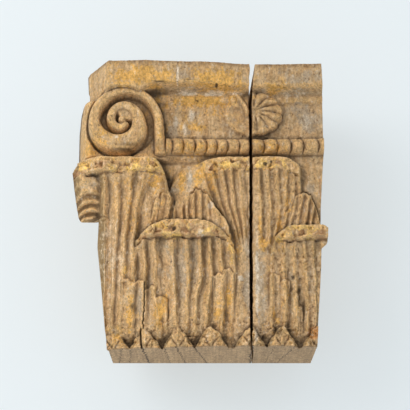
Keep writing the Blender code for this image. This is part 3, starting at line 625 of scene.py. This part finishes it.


# Patches of the old surface, and painted highlights and painted shadows, as x, z, half width, half height and
# strength.
SPOTS = {
    "gilt": [(-73, 129, 26, 9, 1.2), (-58, 120, 10, 2, 1.1), (-88, 121, 20, 4, 0.8), (6, 127, 22, 11, 1.2),
        (20, 118, 14, 5, 0.8), (63, 121, 9, 5, 0.9), (-9, 111, 26, 5.5, 1.4), (-45, 114, 14, 3, 0.6),
        (-20, 84, 16, 9, 0.5), (6, 104, 14, 8, 0.5), (-53, 106, 8, 9, 0.6), (-50, 76, 4, 14, 0.7),
        (-122, 58, 7, 9, 1.5), (-106, 74, 6, 6, 0.9), (-12, 59, 30, 8, 0.8), (60, 59, 12, 8, 0.8),
        (-128, 37, 8, 5, 0.9), (-72, 38, 20, 6, 0.7), (-112, 60, 9, 12, 0.5), (-100, 66, 14, 8, 0.5),
        (-66, 92, 5, 14, 0.5), (-96, -20, 6, 60, 0.45), (-82, 0, 5, 40, 0.4), (-54, 22, 10, 16, 0.6),
        (-29, 27, 4, 12, 1), (-13, 31, 5, 10, 1), (0, 26, 5, 14, 0.8), (68, -24, 4, 12, 1),
        (49, -25, 2, 22, 0.8), (51, -41, 4, 8, 1.2), (8, 40, 24, 6, 0.5), (58, 40, 14, 6, 0.6),
        (76, 4, 5, 20, 0.5), (-48, -24, 20, 5, 0.6), (22, -40, 6, 12, 0.9), (66, -36, 10, 8, 0.7),
        (-81, -108, 4, 22, 0.8), (-51, -113, 5, 13, 1), (-46, -100, 5, 10, 0.7), (17, -96, 3, 12, 1.2),
        (8, -110, 6, 14, 0.6), (-96, -132, 9, 8, 0.6), (62, -120, 6, 14, 0.5), (74, -90, 4, 16, 0.4),
        (-24, -80, 4, 20, 0.3)],
    "bare": [(-22, 122, 9, 6, 1), (84, -82, 22, 32, 0.55), (-27, 82, 5, 9, 0.9), (96, 90, 16, 17, 1),
        (-37, 90, 5, 14, 1), (-21, 93, 5, 9, 0.9), (-22, 26, 4, 11, 1), (-40, 18, 5, 12, 0.8),
        (36, -84, 4, 52, 1), (49, -80, 6, 60, 1), (-6, 2, 6, 9, 0.9), (102, 8, 6, 14, 0.8),
        (-72, -100, 5, 23, 1), (-60, -96, 4, 20, 0.6), (-30, -70, 24, 26, 0.65), (-84, 60, 14, 10, 0.4),
        (92, 128, 26, 14, 0.7), (-118, 20, 8, 10, 0.6), (-128, 10, 8, 16, 0.5), (30, 80, 12, 10, 0.4),
        (-50, 130, 6, 8, 0.4)],
    "yellow": [(-52.5, -25.9, 6, 2.6, 1.2), (-40.5, -26.4, 5.5, 2.4, 1), (-34, -35.6, 6, 2.6, 1.3),
        (-0.5, -29.5, 5, 4, 0.9), (20.2, -53, 1.9, 10, 1), (88, -28.4, 10, 3.2, 1.2),
        (-85.8, -69.6, 2.4, 4.6, 1.2), (-75, 33, 9, 3.8, 1.2), (-59.5, 34, 6, 6, 1), (-128, 35.6, 6, 4, 1),
        (-67, -31, 5, 4, 0.8), (74, -34, 8, 3, 0.8), (50, 41, 5, 4, 0.8), (20, 38, 6, 3, 0.6),
        (64, 38, 6, 3, 0.7), (-12, 41, 6, 3, 0.5)],
    "red": [(-18.9, -29, 6, 7, 1.1), (-43, -31, 5, 2.6, 1), (-58, -33, 5, 3, 0.9), (105, -34.6, 8, 5, 1.1),
        (110, 20, 1.2, 22, 1), (-131.7, 31.6, 7, 1.8, 1), (97, -108, 3, 14, 0.5), (-106, 36, 5, 5, 0.6),
        (66, 44, 4, 3, 0.6), (-8, -31, 3, 3, 0.6), (4, -36, 4, 3, 0.6)],
    "orange": [(101, -131, 5, 6.5, 1.3), (110, -128, 4, 14, 1)],
    # Chalk and pale chips, and painted highlights along the beads and along the abacus's lower edge.
    "chalk_and_highlight": [(-36, 87, 3.5, 13, 0.75), (-99, -50, 15, 62, 0.58), (-6, -126, 40, 6, 0.32),
        (80, -126, 20, 6, 0.32), (2, 65, 34, 5, 0.5), (74, 64, 14, 4, 0.4), (-20, 95, 4, 8, 0.7),
        (-22, 26, 3, 10, 0.85), (-41, 18, 3, 8, 0.7), (-58, 62, 3, 10, 0.6), (98, 92, 5, 14, 0.6),
        (-0.5, -1.8, 3, 3.6, 1.3), (-10.4, -34.6, 4, 3.6, 0.9), (29.2, -75.2, 2.8, 3.4, 1.3),
        (-34.3, 131, 1.3, 12, 1), (45.6, -80, 2.2, 58, 0.9), (35, -84, 1.6, 54, 0.45),
        (44, -133, 2.5, 9, 1.2), (36, -6, 1.2, 40, 0.5), (-52, 40, 1.2, 4, 1), (-96, 66, 3, 2.6, 0.9),
        (-89, 106, 4, 2, 0.6), (-24, 117, 12, 2.5, 0.9), (2, 117, 14, 2.5, 0.9), (24, 117, 12, 2.5, 0.8),
        (-27, 81, 3, 9, 0.7), (52, 119, 6, 5, 0.7), (84, 117, 20, 2.5, 0.6), (-120, 31.4, 2.4, 1.8, 1),
        (-98, 33.4, 2.6, 2, 0.9)],
    # Dark holes, seams and cracks, and painted shadows: in the hollow under the abacus at the left, under the
    # right end of the corner leaf's lip, under the rosette's right half, and under and in the right channel
    # of the volute.
    "dark": [(81, -75, 2.2, 3, 1), (87, -88, 2, 4, 1), (91.5, -104, 2, 10, 0.9), (70, -70, 2, 2, 0.8),
        (5.2, 122, 1.5, 1.5, 1.4), (-37.1, -29.9, 2, 2.2, 1.5), (53.8, 39.2, 2, 2, 1.5),
        (-64, -24.4, 1.2, 1.2, 1.2), (-14, 110, 1.2, 1.2, 1), (-53, 123.6, 11, 0.9, 0.9),
        (-22, 126, 9, 0.8, 0.8), (-101, 115, 1.2, 1.2, 1), (22, 42, 1.6, 1.6, 1), (60, 42, 1.6, 1.6, 1),
        (-112, -66, 1.3, 1.3, 1), (-40, -60, 1.3, 1.3, 1), (-53, -90, 1.2, 1.2, 1), (88, -76, 1.4, 1.4, 1),
        (-19, -118, 1.2, 1.2, 1), (66, -131, 6, 5, 0.8), (-46, -138, 5, 4, 0.7), (-14, -138, 5, 4, 0.8),
        (21, -136, 6, 5, 0.6), (-80, -138, 5, 4, 0.6), (-79, -104, 3, 5, 0.8), (-56, -124, 3, 4, 0.6),
        (14, -112, 3, 5, 0.7), (106, -10, 2, 8, 0.6), (-54, 113, 7, 5, 0.75), (-44, 28, 3, 10, 0.8),
        (58, 71, 13, 3, 0.7), (24, -36, 6, 12, 0.6), (-50, 70, 3, 8, 0.5), (60, -18, 3, 14, 0.5),
        (32, -84, 8, 52, 0.56), (96, 30, 4, 12, 0.5), (13, 98, 8, 2, 0.5), (-60, -8, 2, 10, 0.5),
        (-70, 62, 13, 6, 0.55), (-88, 53, 20, 2.6, 0.85), (-82, 58, 17, 3.6, 0.75), (-61, 85, 2.6, 13, 0.62),
        (-40.3, 8, 1.4, 3.6, 1), (-37.3, 2, 1.2, 4.2, 1.2), (-38.6, -5, 1.2, 3.4, 1),
        (-39.2, -11, 1.1, 3, 0.9)],
}


def spotted(x, z, spots):
    """Soft-edged oval patches, the strongest where they overlap."""
    total = np.zeros(np.shape(x))
    for across, up, half_width, half_height, strength in spots:
        far = ((x - across) / half_width) ** 2 + ((z - up) / half_height) ** 2
        total = np.maximum(total, strength * np.exp(-0.8 * far))
    return total


def layers(x, z, carved, front):
    """The values that the wood's material reads at each point of the front."""
    scroll = fall(33, 37, np.hypot(x - EYE_X, z - EYE_Z))
    cove = patch(x, z, -44, 130, 98, 124, 9, 5) * rise(20, 25, np.hypot(x - AXIS, z - 97))
    slope = np.abs(np.gradient(carved, axis=1)) / np.gradient(x, axis=1)
    recess = np.clip((smooth(front, 9) - front) / 6.5, -1, 1)
    looks = {
        # Painted shade and grime in the hollows, weaker in the scroll and in the hollow under the abacus.
        "recess": recess * (1 - 0.45 * scroll) * (1 - 0.75 * cove),
        # Painted shade and grime in creases, and painted highlight with rubbed wear on sharp edges, weaker in
        # the hollow under the abacus.
        "crease": np.clip((smooth(front, 2) - front) / 0.9, -1, 1) * (1 - 0.8 * cove),
        # Painted highlight on the ridges and painted shade in the troughs between them.
        "ridge": np.clip((smooth(carved, 5) - carved) / 1.5, -1, 1),
        # Painted shade on the steep flanks of the carving and in the hollows of the hanging tip.
        "steep": np.maximum(smooth(rise(0.6, 1.5, slope), 1) * (z < 47), 0.9 * scoops(x, z)),
        "face": 1 + 0 * front,
        "lips": lip_zone(x, z),
        "facet": facets(x, z, *LIP_CHIPS)[1],
    }
    for label, spots in SPOTS.items():
        looks[label] = spotted(x, z, spots)
    looks["dark"] = np.maximum(looks["dark"], splits(x, z) / 3)
    return looks


# Shares of the way to the front where the sides have columns, and the front columns to one of the back's.
SIDE_STEPS = np.concatenate([np.linspace(1, 0.8, 9)[1:], np.linspace(0.8, 0.45, 9)[1:],
                             np.linspace(0.45, 0, 8)[1:]])
BACK_EVERY = 8
# For the left and the right block: the span of x with even columns, and the columns before, in and after it.
EVEN_SPANS = [(-100, 28), (50, 100)]
EVEN_COUNTS = [(45, 142, 12), (9, 56, 17)]


def joint_face(z, fraction, right):
    """The joint's face with its torn, fibrous edge."""
    ragged = 0.35 * noise(z, z * 0, 2.3, 1, 71) + 0.25 * noise(z, z * 0, 7, 1, 72 + right)
    bow = 1.5 * np.sin(np.pi * fraction) * fall(-115, -70, z)
    return joint(z, fraction, right) + ragged * fraction + bow


def side_x(z, fraction, right, face_right):
    """x of the block's left or right face, at a fraction of the way from the back to the front."""
    if face_right and right:
        return right_wall(z) + (right_edge(z) - right_wall(z)) * rise(0.82, 0.93, fraction)
    if face_right or right:
        return joint_face(z, fraction, right)
    return left_wall(z) + (left_edge(z) - left_wall(z)) * rise(side_start(z), 0.97, fraction)


def stretch(start, end, count):
    """Evenly spaced columns from start up to end, without end itself."""
    return start + (end - start) * np.linspace(0, 1, count, endpoint=False)[None, :]


def cap(at_top, level, x, depth, left, right, base, count, kept, made):
    """The top or the foot: a grid from the front row to the back, closed by fans to the back's fewer columns.

    The row of the ring of the given count starts at index base, and the cap's own points at index made.
    """
    columns = len(x)
    side = len(SIDE_STEPS)
    share = ((x - x[0]) / (x[-1] - x[0]))[1:-1]
    spots = []
    grid = [list(range(base, base + columns))]
    for i, fraction in enumerate(SIDE_STEPS[:-1]):
        across = left[i] + (right[i] - left[i]) * share
        deep = depth[1:-1] * fraction
        worn = np.abs(0.35 * noise(across, deep, 4, 4, 83) * min(1, (1 - fraction) * 8))
        spots.append(np.stack([across, -deep, level - (worn if at_top else -worn)], axis=1))
        grid.append([base + count - 1 - i] + list(range(made, made + columns - 2)) + [base + columns + i])
        made += columns - 2
    corner = base + columns + side - 1
    back = [base + count - side] + [corner + i for i in range(len(kept) - 2, 0, -1)] + [corner]
    faces = [[here[c], here[c + 1], beyond[c + 1], beyond[c]]
             for here, beyond in zip(grid, grid[1:]) for c in range(columns - 1)]
    for i, (a, b) in enumerate(zip(kept, kept[1:])):
        faces.append(grid[-1][a:b + 1] + [back[i + 1], back[i]])
    return spots, faces if at_top else [face[::-1] for face in faces]


def skin(name, node, right, material):
    """One block's closed outer surface: front, sides and back as rings, and a gridded top and foot."""
    rows = round(HEIGHT / FINE) + 1
    z = np.linspace(FOOT, TOP, rows)[:, None]
    start = side_x(z, 1, right, False)
    end = side_x(z, 1, right, True)
    low, high = EVEN_SPANS[right]
    counts = EVEN_COUNTS[right]
    front_x = np.concatenate([stretch(start, low, counts[0]), stretch(low + 0 * z, high, counts[1]),
                              stretch(high, end, counts[2]), end], axis=1)
    front_z = z + 0 * front_x
    columns = front_x.shape[1]
    carved = relief(front_x, front_z)
    front = carved + lumps(front_x, front_z, carved)

    steps = SIDE_STEPS[None, :]
    rough = np.abs(0.35 * noise(steps * 90 + 0 * z, z + 0 * steps, 5, 22, 81))
    fade = np.minimum(1, (1 - steps) * 8) * np.minimum(1, steps * 12)
    right_x = side_x(z, steps, right, True) - rough * fade
    left_x = side_x(z, steps, right, False) + rough * fade
    kept = list(range(0, columns - 1, BACK_EVERY)) + [columns - 1]
    inner = kept[1:-1][::-1]
    back_x = left_x[:, -1:] + (right_x[:, -1:] - left_x[:, -1:]) * (front_x - start) / (end - start)
    back_x = back_x[:, inner]
    ring_x = np.concatenate([front_x, right_x, back_x, left_x[:, ::-1]], axis=1)
    ring_depth = np.concatenate([front, front[:, -1:] * steps, 0 * back_x, front[:, :1] * steps[:, ::-1]],
                                axis=1)

    count = ring_x.shape[1]
    spots = [np.stack([ring_x, -ring_depth, z + sag(ring_x, z)], axis=2).reshape(-1, 3)]
    j, k = np.meshgrid(np.arange(rows - 1), np.arange(count), indexing="ij")
    n = (k + 1) % count
    faces = np.stack([j * count + k, j * count + n, (j + 1) * count + n, (j + 1) * count + k], axis=2)
    faces = faces.reshape(-1, 4).tolist()
    for row in (0, rows - 1):
        made = sum(len(part) for part in spots)
        cap_spots, cap_faces = cap(row > 0, z[row, 0], front_x[row], front[row], left_x[row], right_x[row],
                                   row * count, count, kept, made)
        spots += cap_spots
        faces += cap_faces

    spots = np.concatenate(spots) * MM
    mesh = bpy.data.meshes.new(name)
    mesh.from_pydata(spots.tolist(), [], faces)
    mesh.validate()
    for label, values in layers(front_x, front_z, carved, front).items():
        whole = np.zeros((rows, count))
        whole[:, :columns] = values
        whole = np.concatenate([whole.reshape(-1), np.zeros(len(spots) - rows * count)])
        mesh.attributes.new(label, "FLOAT", "POINT").data.foreach_set("value", whole.astype(np.float32))
    mesh.shade_smooth()
    mesh.materials.append(material)
    piece = bpy.data.objects.new(name, mesh)
    bpy.context.collection.objects.link(piece)
    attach(piece, "root")
    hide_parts(node)


class Board:
    """A small helper that lays out and wires shader nodes."""

    def __init__(self, material):
        self.tree = material.node_tree
        self.shader = self.tree.nodes["Principled BSDF"]
        self.place = self.tree.nodes.new("ShaderNodeTexCoord").outputs["Object"]

    def wire(self, source, socket):
        """Links an output to the socket, or sets a plain value on it."""
        if hasattr(source, "node"):
            self.tree.links.new(source, socket)
        else:
            socket.default_value = source

    def node(self, kind, **inputs):
        made = self.tree.nodes.new("ShaderNode" + kind)
        for label, source in inputs.items():
            self.wire(source, made.inputs[label.replace("_", " ")])
        return made

    def noise(self, scale, detail, rough, seed):
        """Noise with its own scale along x, y and z, per metre."""
        place = self.node("Mapping", Scale=scale, Location=(seed, seed * 2.0, seed * 3.0), Vector=self.place)
        return self.node("TexNoise", Scale=1.0, Detail=detail, Roughness=rough,
                         Vector=place.outputs["Vector"]).outputs["Fac"]

    def band(self, value, low, high, to_low=0.0, to_high=1.0):
        """to_low up to low, to_high from high on, and a soft step between."""
        node = self.node("MapRange", Value=value, From_Min=low, From_Max=high, To_Min=to_low, To_Max=to_high)
        node.interpolation_type = "SMOOTHSTEP"
        return node.outputs["Result"]

    def math(self, operation, a, b=0.0):
        node = self.node("Math")
        node.operation = operation
        self.wire(a, node.inputs[0])
        self.wire(b, node.inputs[1])
        return node.outputs["Value"]

    def mix(self, factor, a, b, blend="MIX"):
        """Colour b over colour a, by the factor."""
        node = self.node("Mix")
        node.data_type = "RGBA"
        node.blend_type = blend
        self.wire(factor, node.inputs["Factor"])
        for source, label in ((a, "A"), (b, "B")):
            socket = [s for s in node.inputs if s.type == "RGBA" and s.name == label][0]
            self.wire((*source, 1.0) if isinstance(source, tuple) else source, socket)
        return [s for s in node.outputs if s.type == "RGBA"][0]

    def axis(self, name):
        """The place along one axis, in metres."""
        return self.node("SeparateXYZ", Vector=self.place).outputs[name]

    def layer(self, name):
        """A value kept on the mesh."""
        node = self.node("Attribute")
        node.attribute_name = name
        return node.outputs["Fac"]

    def bump(self, height, strength, distance, **normal):
        node = self.node("Bump", Strength=strength, Distance=distance, Height=height, **normal)
        return node.outputs["Normal"]


TAN = (0.59, 0.350, 0.155)
# Pale streaks, and painted highlight with rubbed wear on sharp edges.
PALE = (0.71, 0.475, 0.250)
GREY = (0.49, 0.375, 0.255)
# Painted highlight on the ridges.
OCHRE_HIGHLIGHT = (0.78, 0.475, 0.195)
GILT = (0.78, 0.42, 0.10)
YELLOW = (0.95, 0.60, 0.17)
RED = (0.43, 0.22, 0.10)
ORANGE = (0.62, 0.26, 0.07)
# Chalk and pale specks, and painted highlights on the beads and along the abacus's lower edge.
CHALK_AND_HIGHLIGHT = (0.80, 0.67, 0.51)
# Painted shade in the troughs between the ridges.
TROUGH_SHADE = (0.42, 0.29, 0.165)
# Painted shade on steep flanks and in the hollows of the hanging tip.
OLIVE_SHADE = (0.23, 0.145, 0.056)
# Fibres, specks and the dirty top edge, and painted shade with grime in creases.
BROWN = (0.20, 0.11, 0.048)
# Painted shade and grime in the hollows.
GRIME_AND_SHADE = (0.17, 0.115, 0.065)
# Dark cracks, holes and seams, painted shadows, and painted shade with grime in the deepest hollows.
DIRT_AND_SHADE = (0.06, 0.038, 0.02)
END_GRAIN = (0.54, 0.345, 0.185)
END_DARK = (0.37, 0.235, 0.125)

# Heights, in metres, where the sawn foot ends, the top edge gets dirty and the part above the leaves starts.
FOOT_BAND = (-0.1446, -0.1438)
TOP_BAND = (0.1395, 0.1440)
UPPER_BAND = (0.046, 0.058)
UPPER_TONE = 0.86
CRACK_REACH = 0.1  # metres from the back to where a crack's x at the front is taken

# Each dark crack across the sawn foot: x at the front, x at the back, and half its width.
CRACKS = [(-88.1, -95.9, 0.7), (-78.9, -84.7, 0.6), (-68.8, -64.4, 1.5), (-47, -42.8, 0.7),
          (-34.9, -26.7, 0.9), (-17.3, -4.4, 1), (81.3, 67.6, 0.7), (62, 55, 0.4), (-100, -104, 0.4),
          (JOINT_X, JOINT_X, 1.6)]


def end_cracks(b):
    """1 in the dark cracks across the sawn foot."""
    total = 0.0
    far = b.math("MULTIPLY", b.axis("Y"), -1 / CRACK_REACH)
    wander = b.band(b.noise((8, 160, 8), 3, 0.6, 5.0), 0.3, 0.7, -0.0012, 0.0012)
    for front, back, wide in CRACKS:
        line = b.math("ADD", b.math("MULTIPLY", far, (front - back) * MM), back * MM)
        away = b.math("ABSOLUTE", b.math("SUBTRACT", b.math("ADD", b.axis("X"), wander), line))
        total = b.math("MAXIMUM", total, b.band(away, 0.3 * wide * MM, wide * MM, 1.0, 0.0))
    return total


def old_wood(name, seed, tone):
    """Worn, once gilded wood: the bare wood, what is left on it, then dirt, dark cracks and its tone."""
    made = bpy.data.materials.new(name)
    made.use_nodes = True
    b = Board(made)
    face = b.layer("face")
    under = b.band(b.axis("Z"), *FOOT_BAND, 1, 0)
    fibre, streak, pale_areas, flake, grit, speck, blotch, rings, grain, planks = [
        b.noise(scale, detail, rough, seed + i) for i, (scale, detail, rough) in enumerate((
            ((750, 750, 60), 4, 0.6), ((150, 150, 26), 4, 0.6), ((60, 60, 40), 5, 0.65),
            ((150, 150, 120), 6, 0.75), ((460, 460, 360), 4, 0.7), ((330, 330, 250), 3, 0.6),
            ((170, 170, 90), 5, 0.7), ((420, 9, 60), 4, 0.65), ((90, 30, 60), 4, 0.6),
            ((130, 130, 5), 5, 0.6)))]

    def coats(colour, *rows):
        """Colours over the last one, each least up to low and most from high on."""
        for amount, low, high, least, most, tint in rows:
            colour = b.mix(b.band(amount, low, high, least, most), colour, tint)
        return colour

    def uneven(value, source, low, high, least, most):
        return b.math("ADD", value, b.band(source, low, high, least, most))

    # Wood: pale streaks and grey bare parts, ochre painted highlight on the ridges, painted shade in the
    # troughs between them, and olive painted shade on the steep flanks.
    colour = b.mix(b.band(streak, 0.36, 0.66), TAN, PALE)
    grey = uneven(b.layer("bare"), pale_areas, 0.35, 0.75, -0.35, 0.75)
    colour = coats(colour, (grey, 0.35, 0.9, 0, 0.85, GREY))
    ridge = uneven(b.layer("ridge"), blotch, 0.36, 0.64, -0.4, 0.4)
    colour = coats(colour, (ridge, -0.9, -0.1, 0.85, 0, OCHRE_HIGHLIGHT), (ridge, 0, 0.8, 0, 0.50, TROUGH_SHADE))
    # Olive painted shade on the steep flanks and in the tip's hollows.
    steep = uneven(b.layer("steep"), blotch, 0.36, 0.64, -0.3, 0.2)
    colour = coats(colour, (steep, 0.2, 0.9, 0, 0.85, OLIVE_SHADE))
    # Remains of gold and chalk with painted highlights on the beads and along the abacus's lower edge, the
    # dirty top edge, and the lips' chips.
    gold = uneven(b.layer("gilt"), flake, 0.34, 0.66, -0.62, 0.36)
    colour = b.mix(b.math("MULTIPLY", b.band(gold, 0.15, 0.65, 0, 0.9), face), colour, GILT)
    chalk_and_highlight = uneven(b.layer("chalk_and_highlight"), flake, 0.30, 0.72, -0.5, 0.3)
    colour = coats(colour, (chalk_and_highlight, 0.25, 0.8, 0, 0.85, CHALK_AND_HIGHLIGHT))
    edge = b.math("MULTIPLY", b.band(b.axis("Z"), *TOP_BAND, 0, 0.75), b.band(blotch, 0.40, 0.58))
    colour = b.mix(b.math("MULTIPLY", edge, face), colour, BROWN)
    facet = b.layer("facet")
    lips = b.layer("lips")
    yellow = b.math("ADD", b.math("MULTIPLY", lips, b.band(facet, 0.25, 0.6, 0, 0.6)), b.layer("yellow"))
    yellow = uneven(yellow, flake, 0.38, 0.62, -0.6, 0.35)
    colour = coats(colour, (yellow, 0.25, 0.8, 0, 0.9, YELLOW))
    red = b.math("ADD", b.math("MULTIPLY", lips, b.band(facet, -0.8, -0.4, 0.8, 0)), b.layer("red"))
    red = uneven(red, blotch, 0.38, 0.62, -0.5, 0.3)
    colour = coats(colour, (red, 0.4, 0.9, 0, 0.8, RED), (b.layer("orange"), 0.3, 0.8, 0, 0.9, ORANGE))
    # Grime and painted shade in creases, painted highlight with rubbed wear on sharp edges, dark fibres, dark
    # and pale specks, and grime and painted shade in deep hollows.
    crease = uneven(b.layer("crease"), grit, 0.3, 0.7, -0.45, 0.45)
    colour = coats(colour, (crease, 0.2, 1.15, 0, 0.72, BROWN), (crease, -0.9, -0.1, 0.40, 0, PALE),
                   (fibre, 0.58, 0.74, 0, 0.35, BROWN), (speck, 0.58, 0.70, 0, 0.75, BROWN),
                   (speck, 0.30, 0.42, 0.45, 0, CHALK_AND_HIGHLIGHT))
    recess = b.layer("recess")
    # Painted shade and grime in the hollows, darkest in the deepest.
    colour = coats(colour, (recess, 0.15, 0.75, 0, 0.50, GRIME_AND_SHADE), (recess, 0.55, 1, 0, 0.60, DIRT_AND_SHADE))
    # Plank grain on the sides, back and top, and the end grain of the sawn foot.
    plank = b.band(planks, 0.34, 0.66, 0.72, 1.16)
    colour = b.mix(b.math("SUBTRACT", 1, face), colour, b.mix(1, colour, plank, "MULTIPLY"))
    end = coats(END_GRAIN, (grain, 0.3, 0.7, 0, 0.5, END_DARK), (rings, 0.38, 0.62, 0, 0.8, END_DARK))
    colour = b.mix(under, colour, end)
    # Dark holes, seams and cracks with painted shadows among them, and the dark cracks across the sawn foot.
    dark = b.math("ADD", b.layer("dark"), b.math("MULTIPLY", end_cracks(b), under))
    colour = coats(colour, (dark, 0.3, 1, 0, 0.92, DIRT_AND_SHADE))
    # Lighter and darker parts, and the block's own tone, darker above the leaves.
    for shade in (b.band(blotch, 0.36, 0.64, 0.80, 1.18), b.band(grit, 0.34, 0.66, 0.74, 1.24),
                  b.band(b.axis("Z"), *UPPER_BAND, tone, tone * UPPER_TONE)):
        colour = b.mix(1, colour, shade, "MULTIPLY")
    b.wire(colour, b.shader.inputs["Base Color"])
    b.wire(b.band(grit, 0.3, 0.7, 0.9, 0.68), b.shader.inputs["Roughness"])
    b.shader.inputs["Specular IOR Level"].default_value = 0.3
    normal = b.bump(fibre, 0.6, 0.0008)
    normal = b.bump(grit, 0.9, 0.0012, Normal=normal)
    normal = b.bump(blotch, 0.5, 0.0015, Normal=normal)
    b.wire(normal, b.shader.inputs["Normal"])
    return made


def plain(name, colour):
    """A matt paper of one colour, and its shader."""
    made = bpy.data.materials.new(name)
    made.use_nodes = True
    shader = made.node_tree.nodes["Principled BSDF"]
    shader.inputs["Base Color"].default_value = (*colour, 1.0)
    shader.inputs["Roughness"].default_value = 0.95
    return made, shader


def backdrop(name, colour, glow):
    """A faintly glowing, one-sided paper: see-through from behind, so that views from there stay open."""
    made, shader = plain(name, colour)
    shader.inputs["Emission Color"].default_value = (0.93, 0.99, 1.0, 1.0)
    shader.inputs["Emission Strength"].default_value = glow
    tree = made.node_tree
    clear = tree.nodes.new("ShaderNodeBsdfTransparent")
    side = tree.nodes.new("ShaderNodeNewGeometry")
    mix = tree.nodes.new("ShaderNodeMixShader")
    tree.links.new(side.outputs["Backfacing"], mix.inputs["Fac"])
    tree.links.new(shader.outputs["BSDF"], mix.inputs[1])
    tree.links.new(clear.outputs["BSDF"], mix.inputs[2])
    tree.links.new(mix.outputs["Shader"], tree.nodes["Material Output"].inputs["Surface"])
    return made


def stage():
    """A pale wall close behind the part, and a pale floor far enough below it for views from underneath."""
    half, floor, top, wall = 3.0, -1.6, 3.0, 0.05
    upright = [(-half, wall, floor), (half, wall, floor), (half, wall, top), (-half, wall, top)]
    level = [(-half, -half, floor), (half, -half, floor), (half, half, floor), (-half, half, floor)]
    for name, corners, material in (("wall", upright, backdrop("backdrop_paper", (0.43, 0.455, 0.47), 0.42)),
                                    ("floor", level, plain("floor_paper", (0.86, 0.91, 0.94))[0])):
        mesh = bpy.data.meshes.new(name)
        mesh.from_pydata(corners, [], [(0, 1, 2, 3)])
        mesh.materials.append(material)
        piece = bpy.data.objects.new(name, mesh)
        bpy.context.collection.objects.link(piece)


def key_light(place, target):
    """A large soft lamp at the upper left."""
    data = bpy.data.lights.new("key", "AREA")
    data.shape = "DISK"
    data.size = 1.5
    data.energy = 15
    data.color = (1.0, 0.98, 0.95)
    lamp = bpy.data.objects.new("key", data)
    lamp.location = place
    lamp.rotation_euler = (target - place).to_track_quat("-Z", "Y").to_euler()
    bpy.context.collection.objects.link(lamp)


SENSOR = 36.0
PICTURE = 0.410  # metres that the picture spans at the part's distance
RANGE = 1.62
PITCH = math.radians(14.5)  # upwards
AIM = Vector((-0.0065, -0.110, -0.0029))


def camera():
    """Looks at the part from slightly below, as the photograph does."""
    data = bpy.data.cameras.new("camera")
    data.sensor_width = SENSOR
    data.lens = SENSOR * RANGE / PICTURE
    eye = bpy.data.objects.new("camera", data)
    eye.location = AIM - RANGE * Vector((0.0, math.cos(PITCH), math.sin(PITCH)))
    eye.rotation_euler = (math.pi / 2 + PITCH, 0.0, 0.0)
    bpy.context.collection.objects.link(eye)
    bpy.context.scene.camera = eye


def world():
    """Even, faintly cool light from all round."""
    made = bpy.data.worlds.new("studio")
    made.use_nodes = True
    made.node_tree.nodes["Background"].inputs["Color"].default_value = (0.93, 0.97, 1.0, 1.0)
    made.node_tree.nodes["Background"].inputs["Strength"].default_value = 0.86
    bpy.context.scene.world = made


skin("left_block_skin", "left_block", False, old_wood("left_wood", 3.0, 1.07))
skin("right_block_skin", "right_block", True, old_wood("right_wood", 11.0, 0.97))
stage()
camera()
world()
key_light(Vector((-1.35, -1.60, 0.62)), Vector((0, -0.06, 0)))
bpy.context.scene.view_settings.view_transform = "Standard"
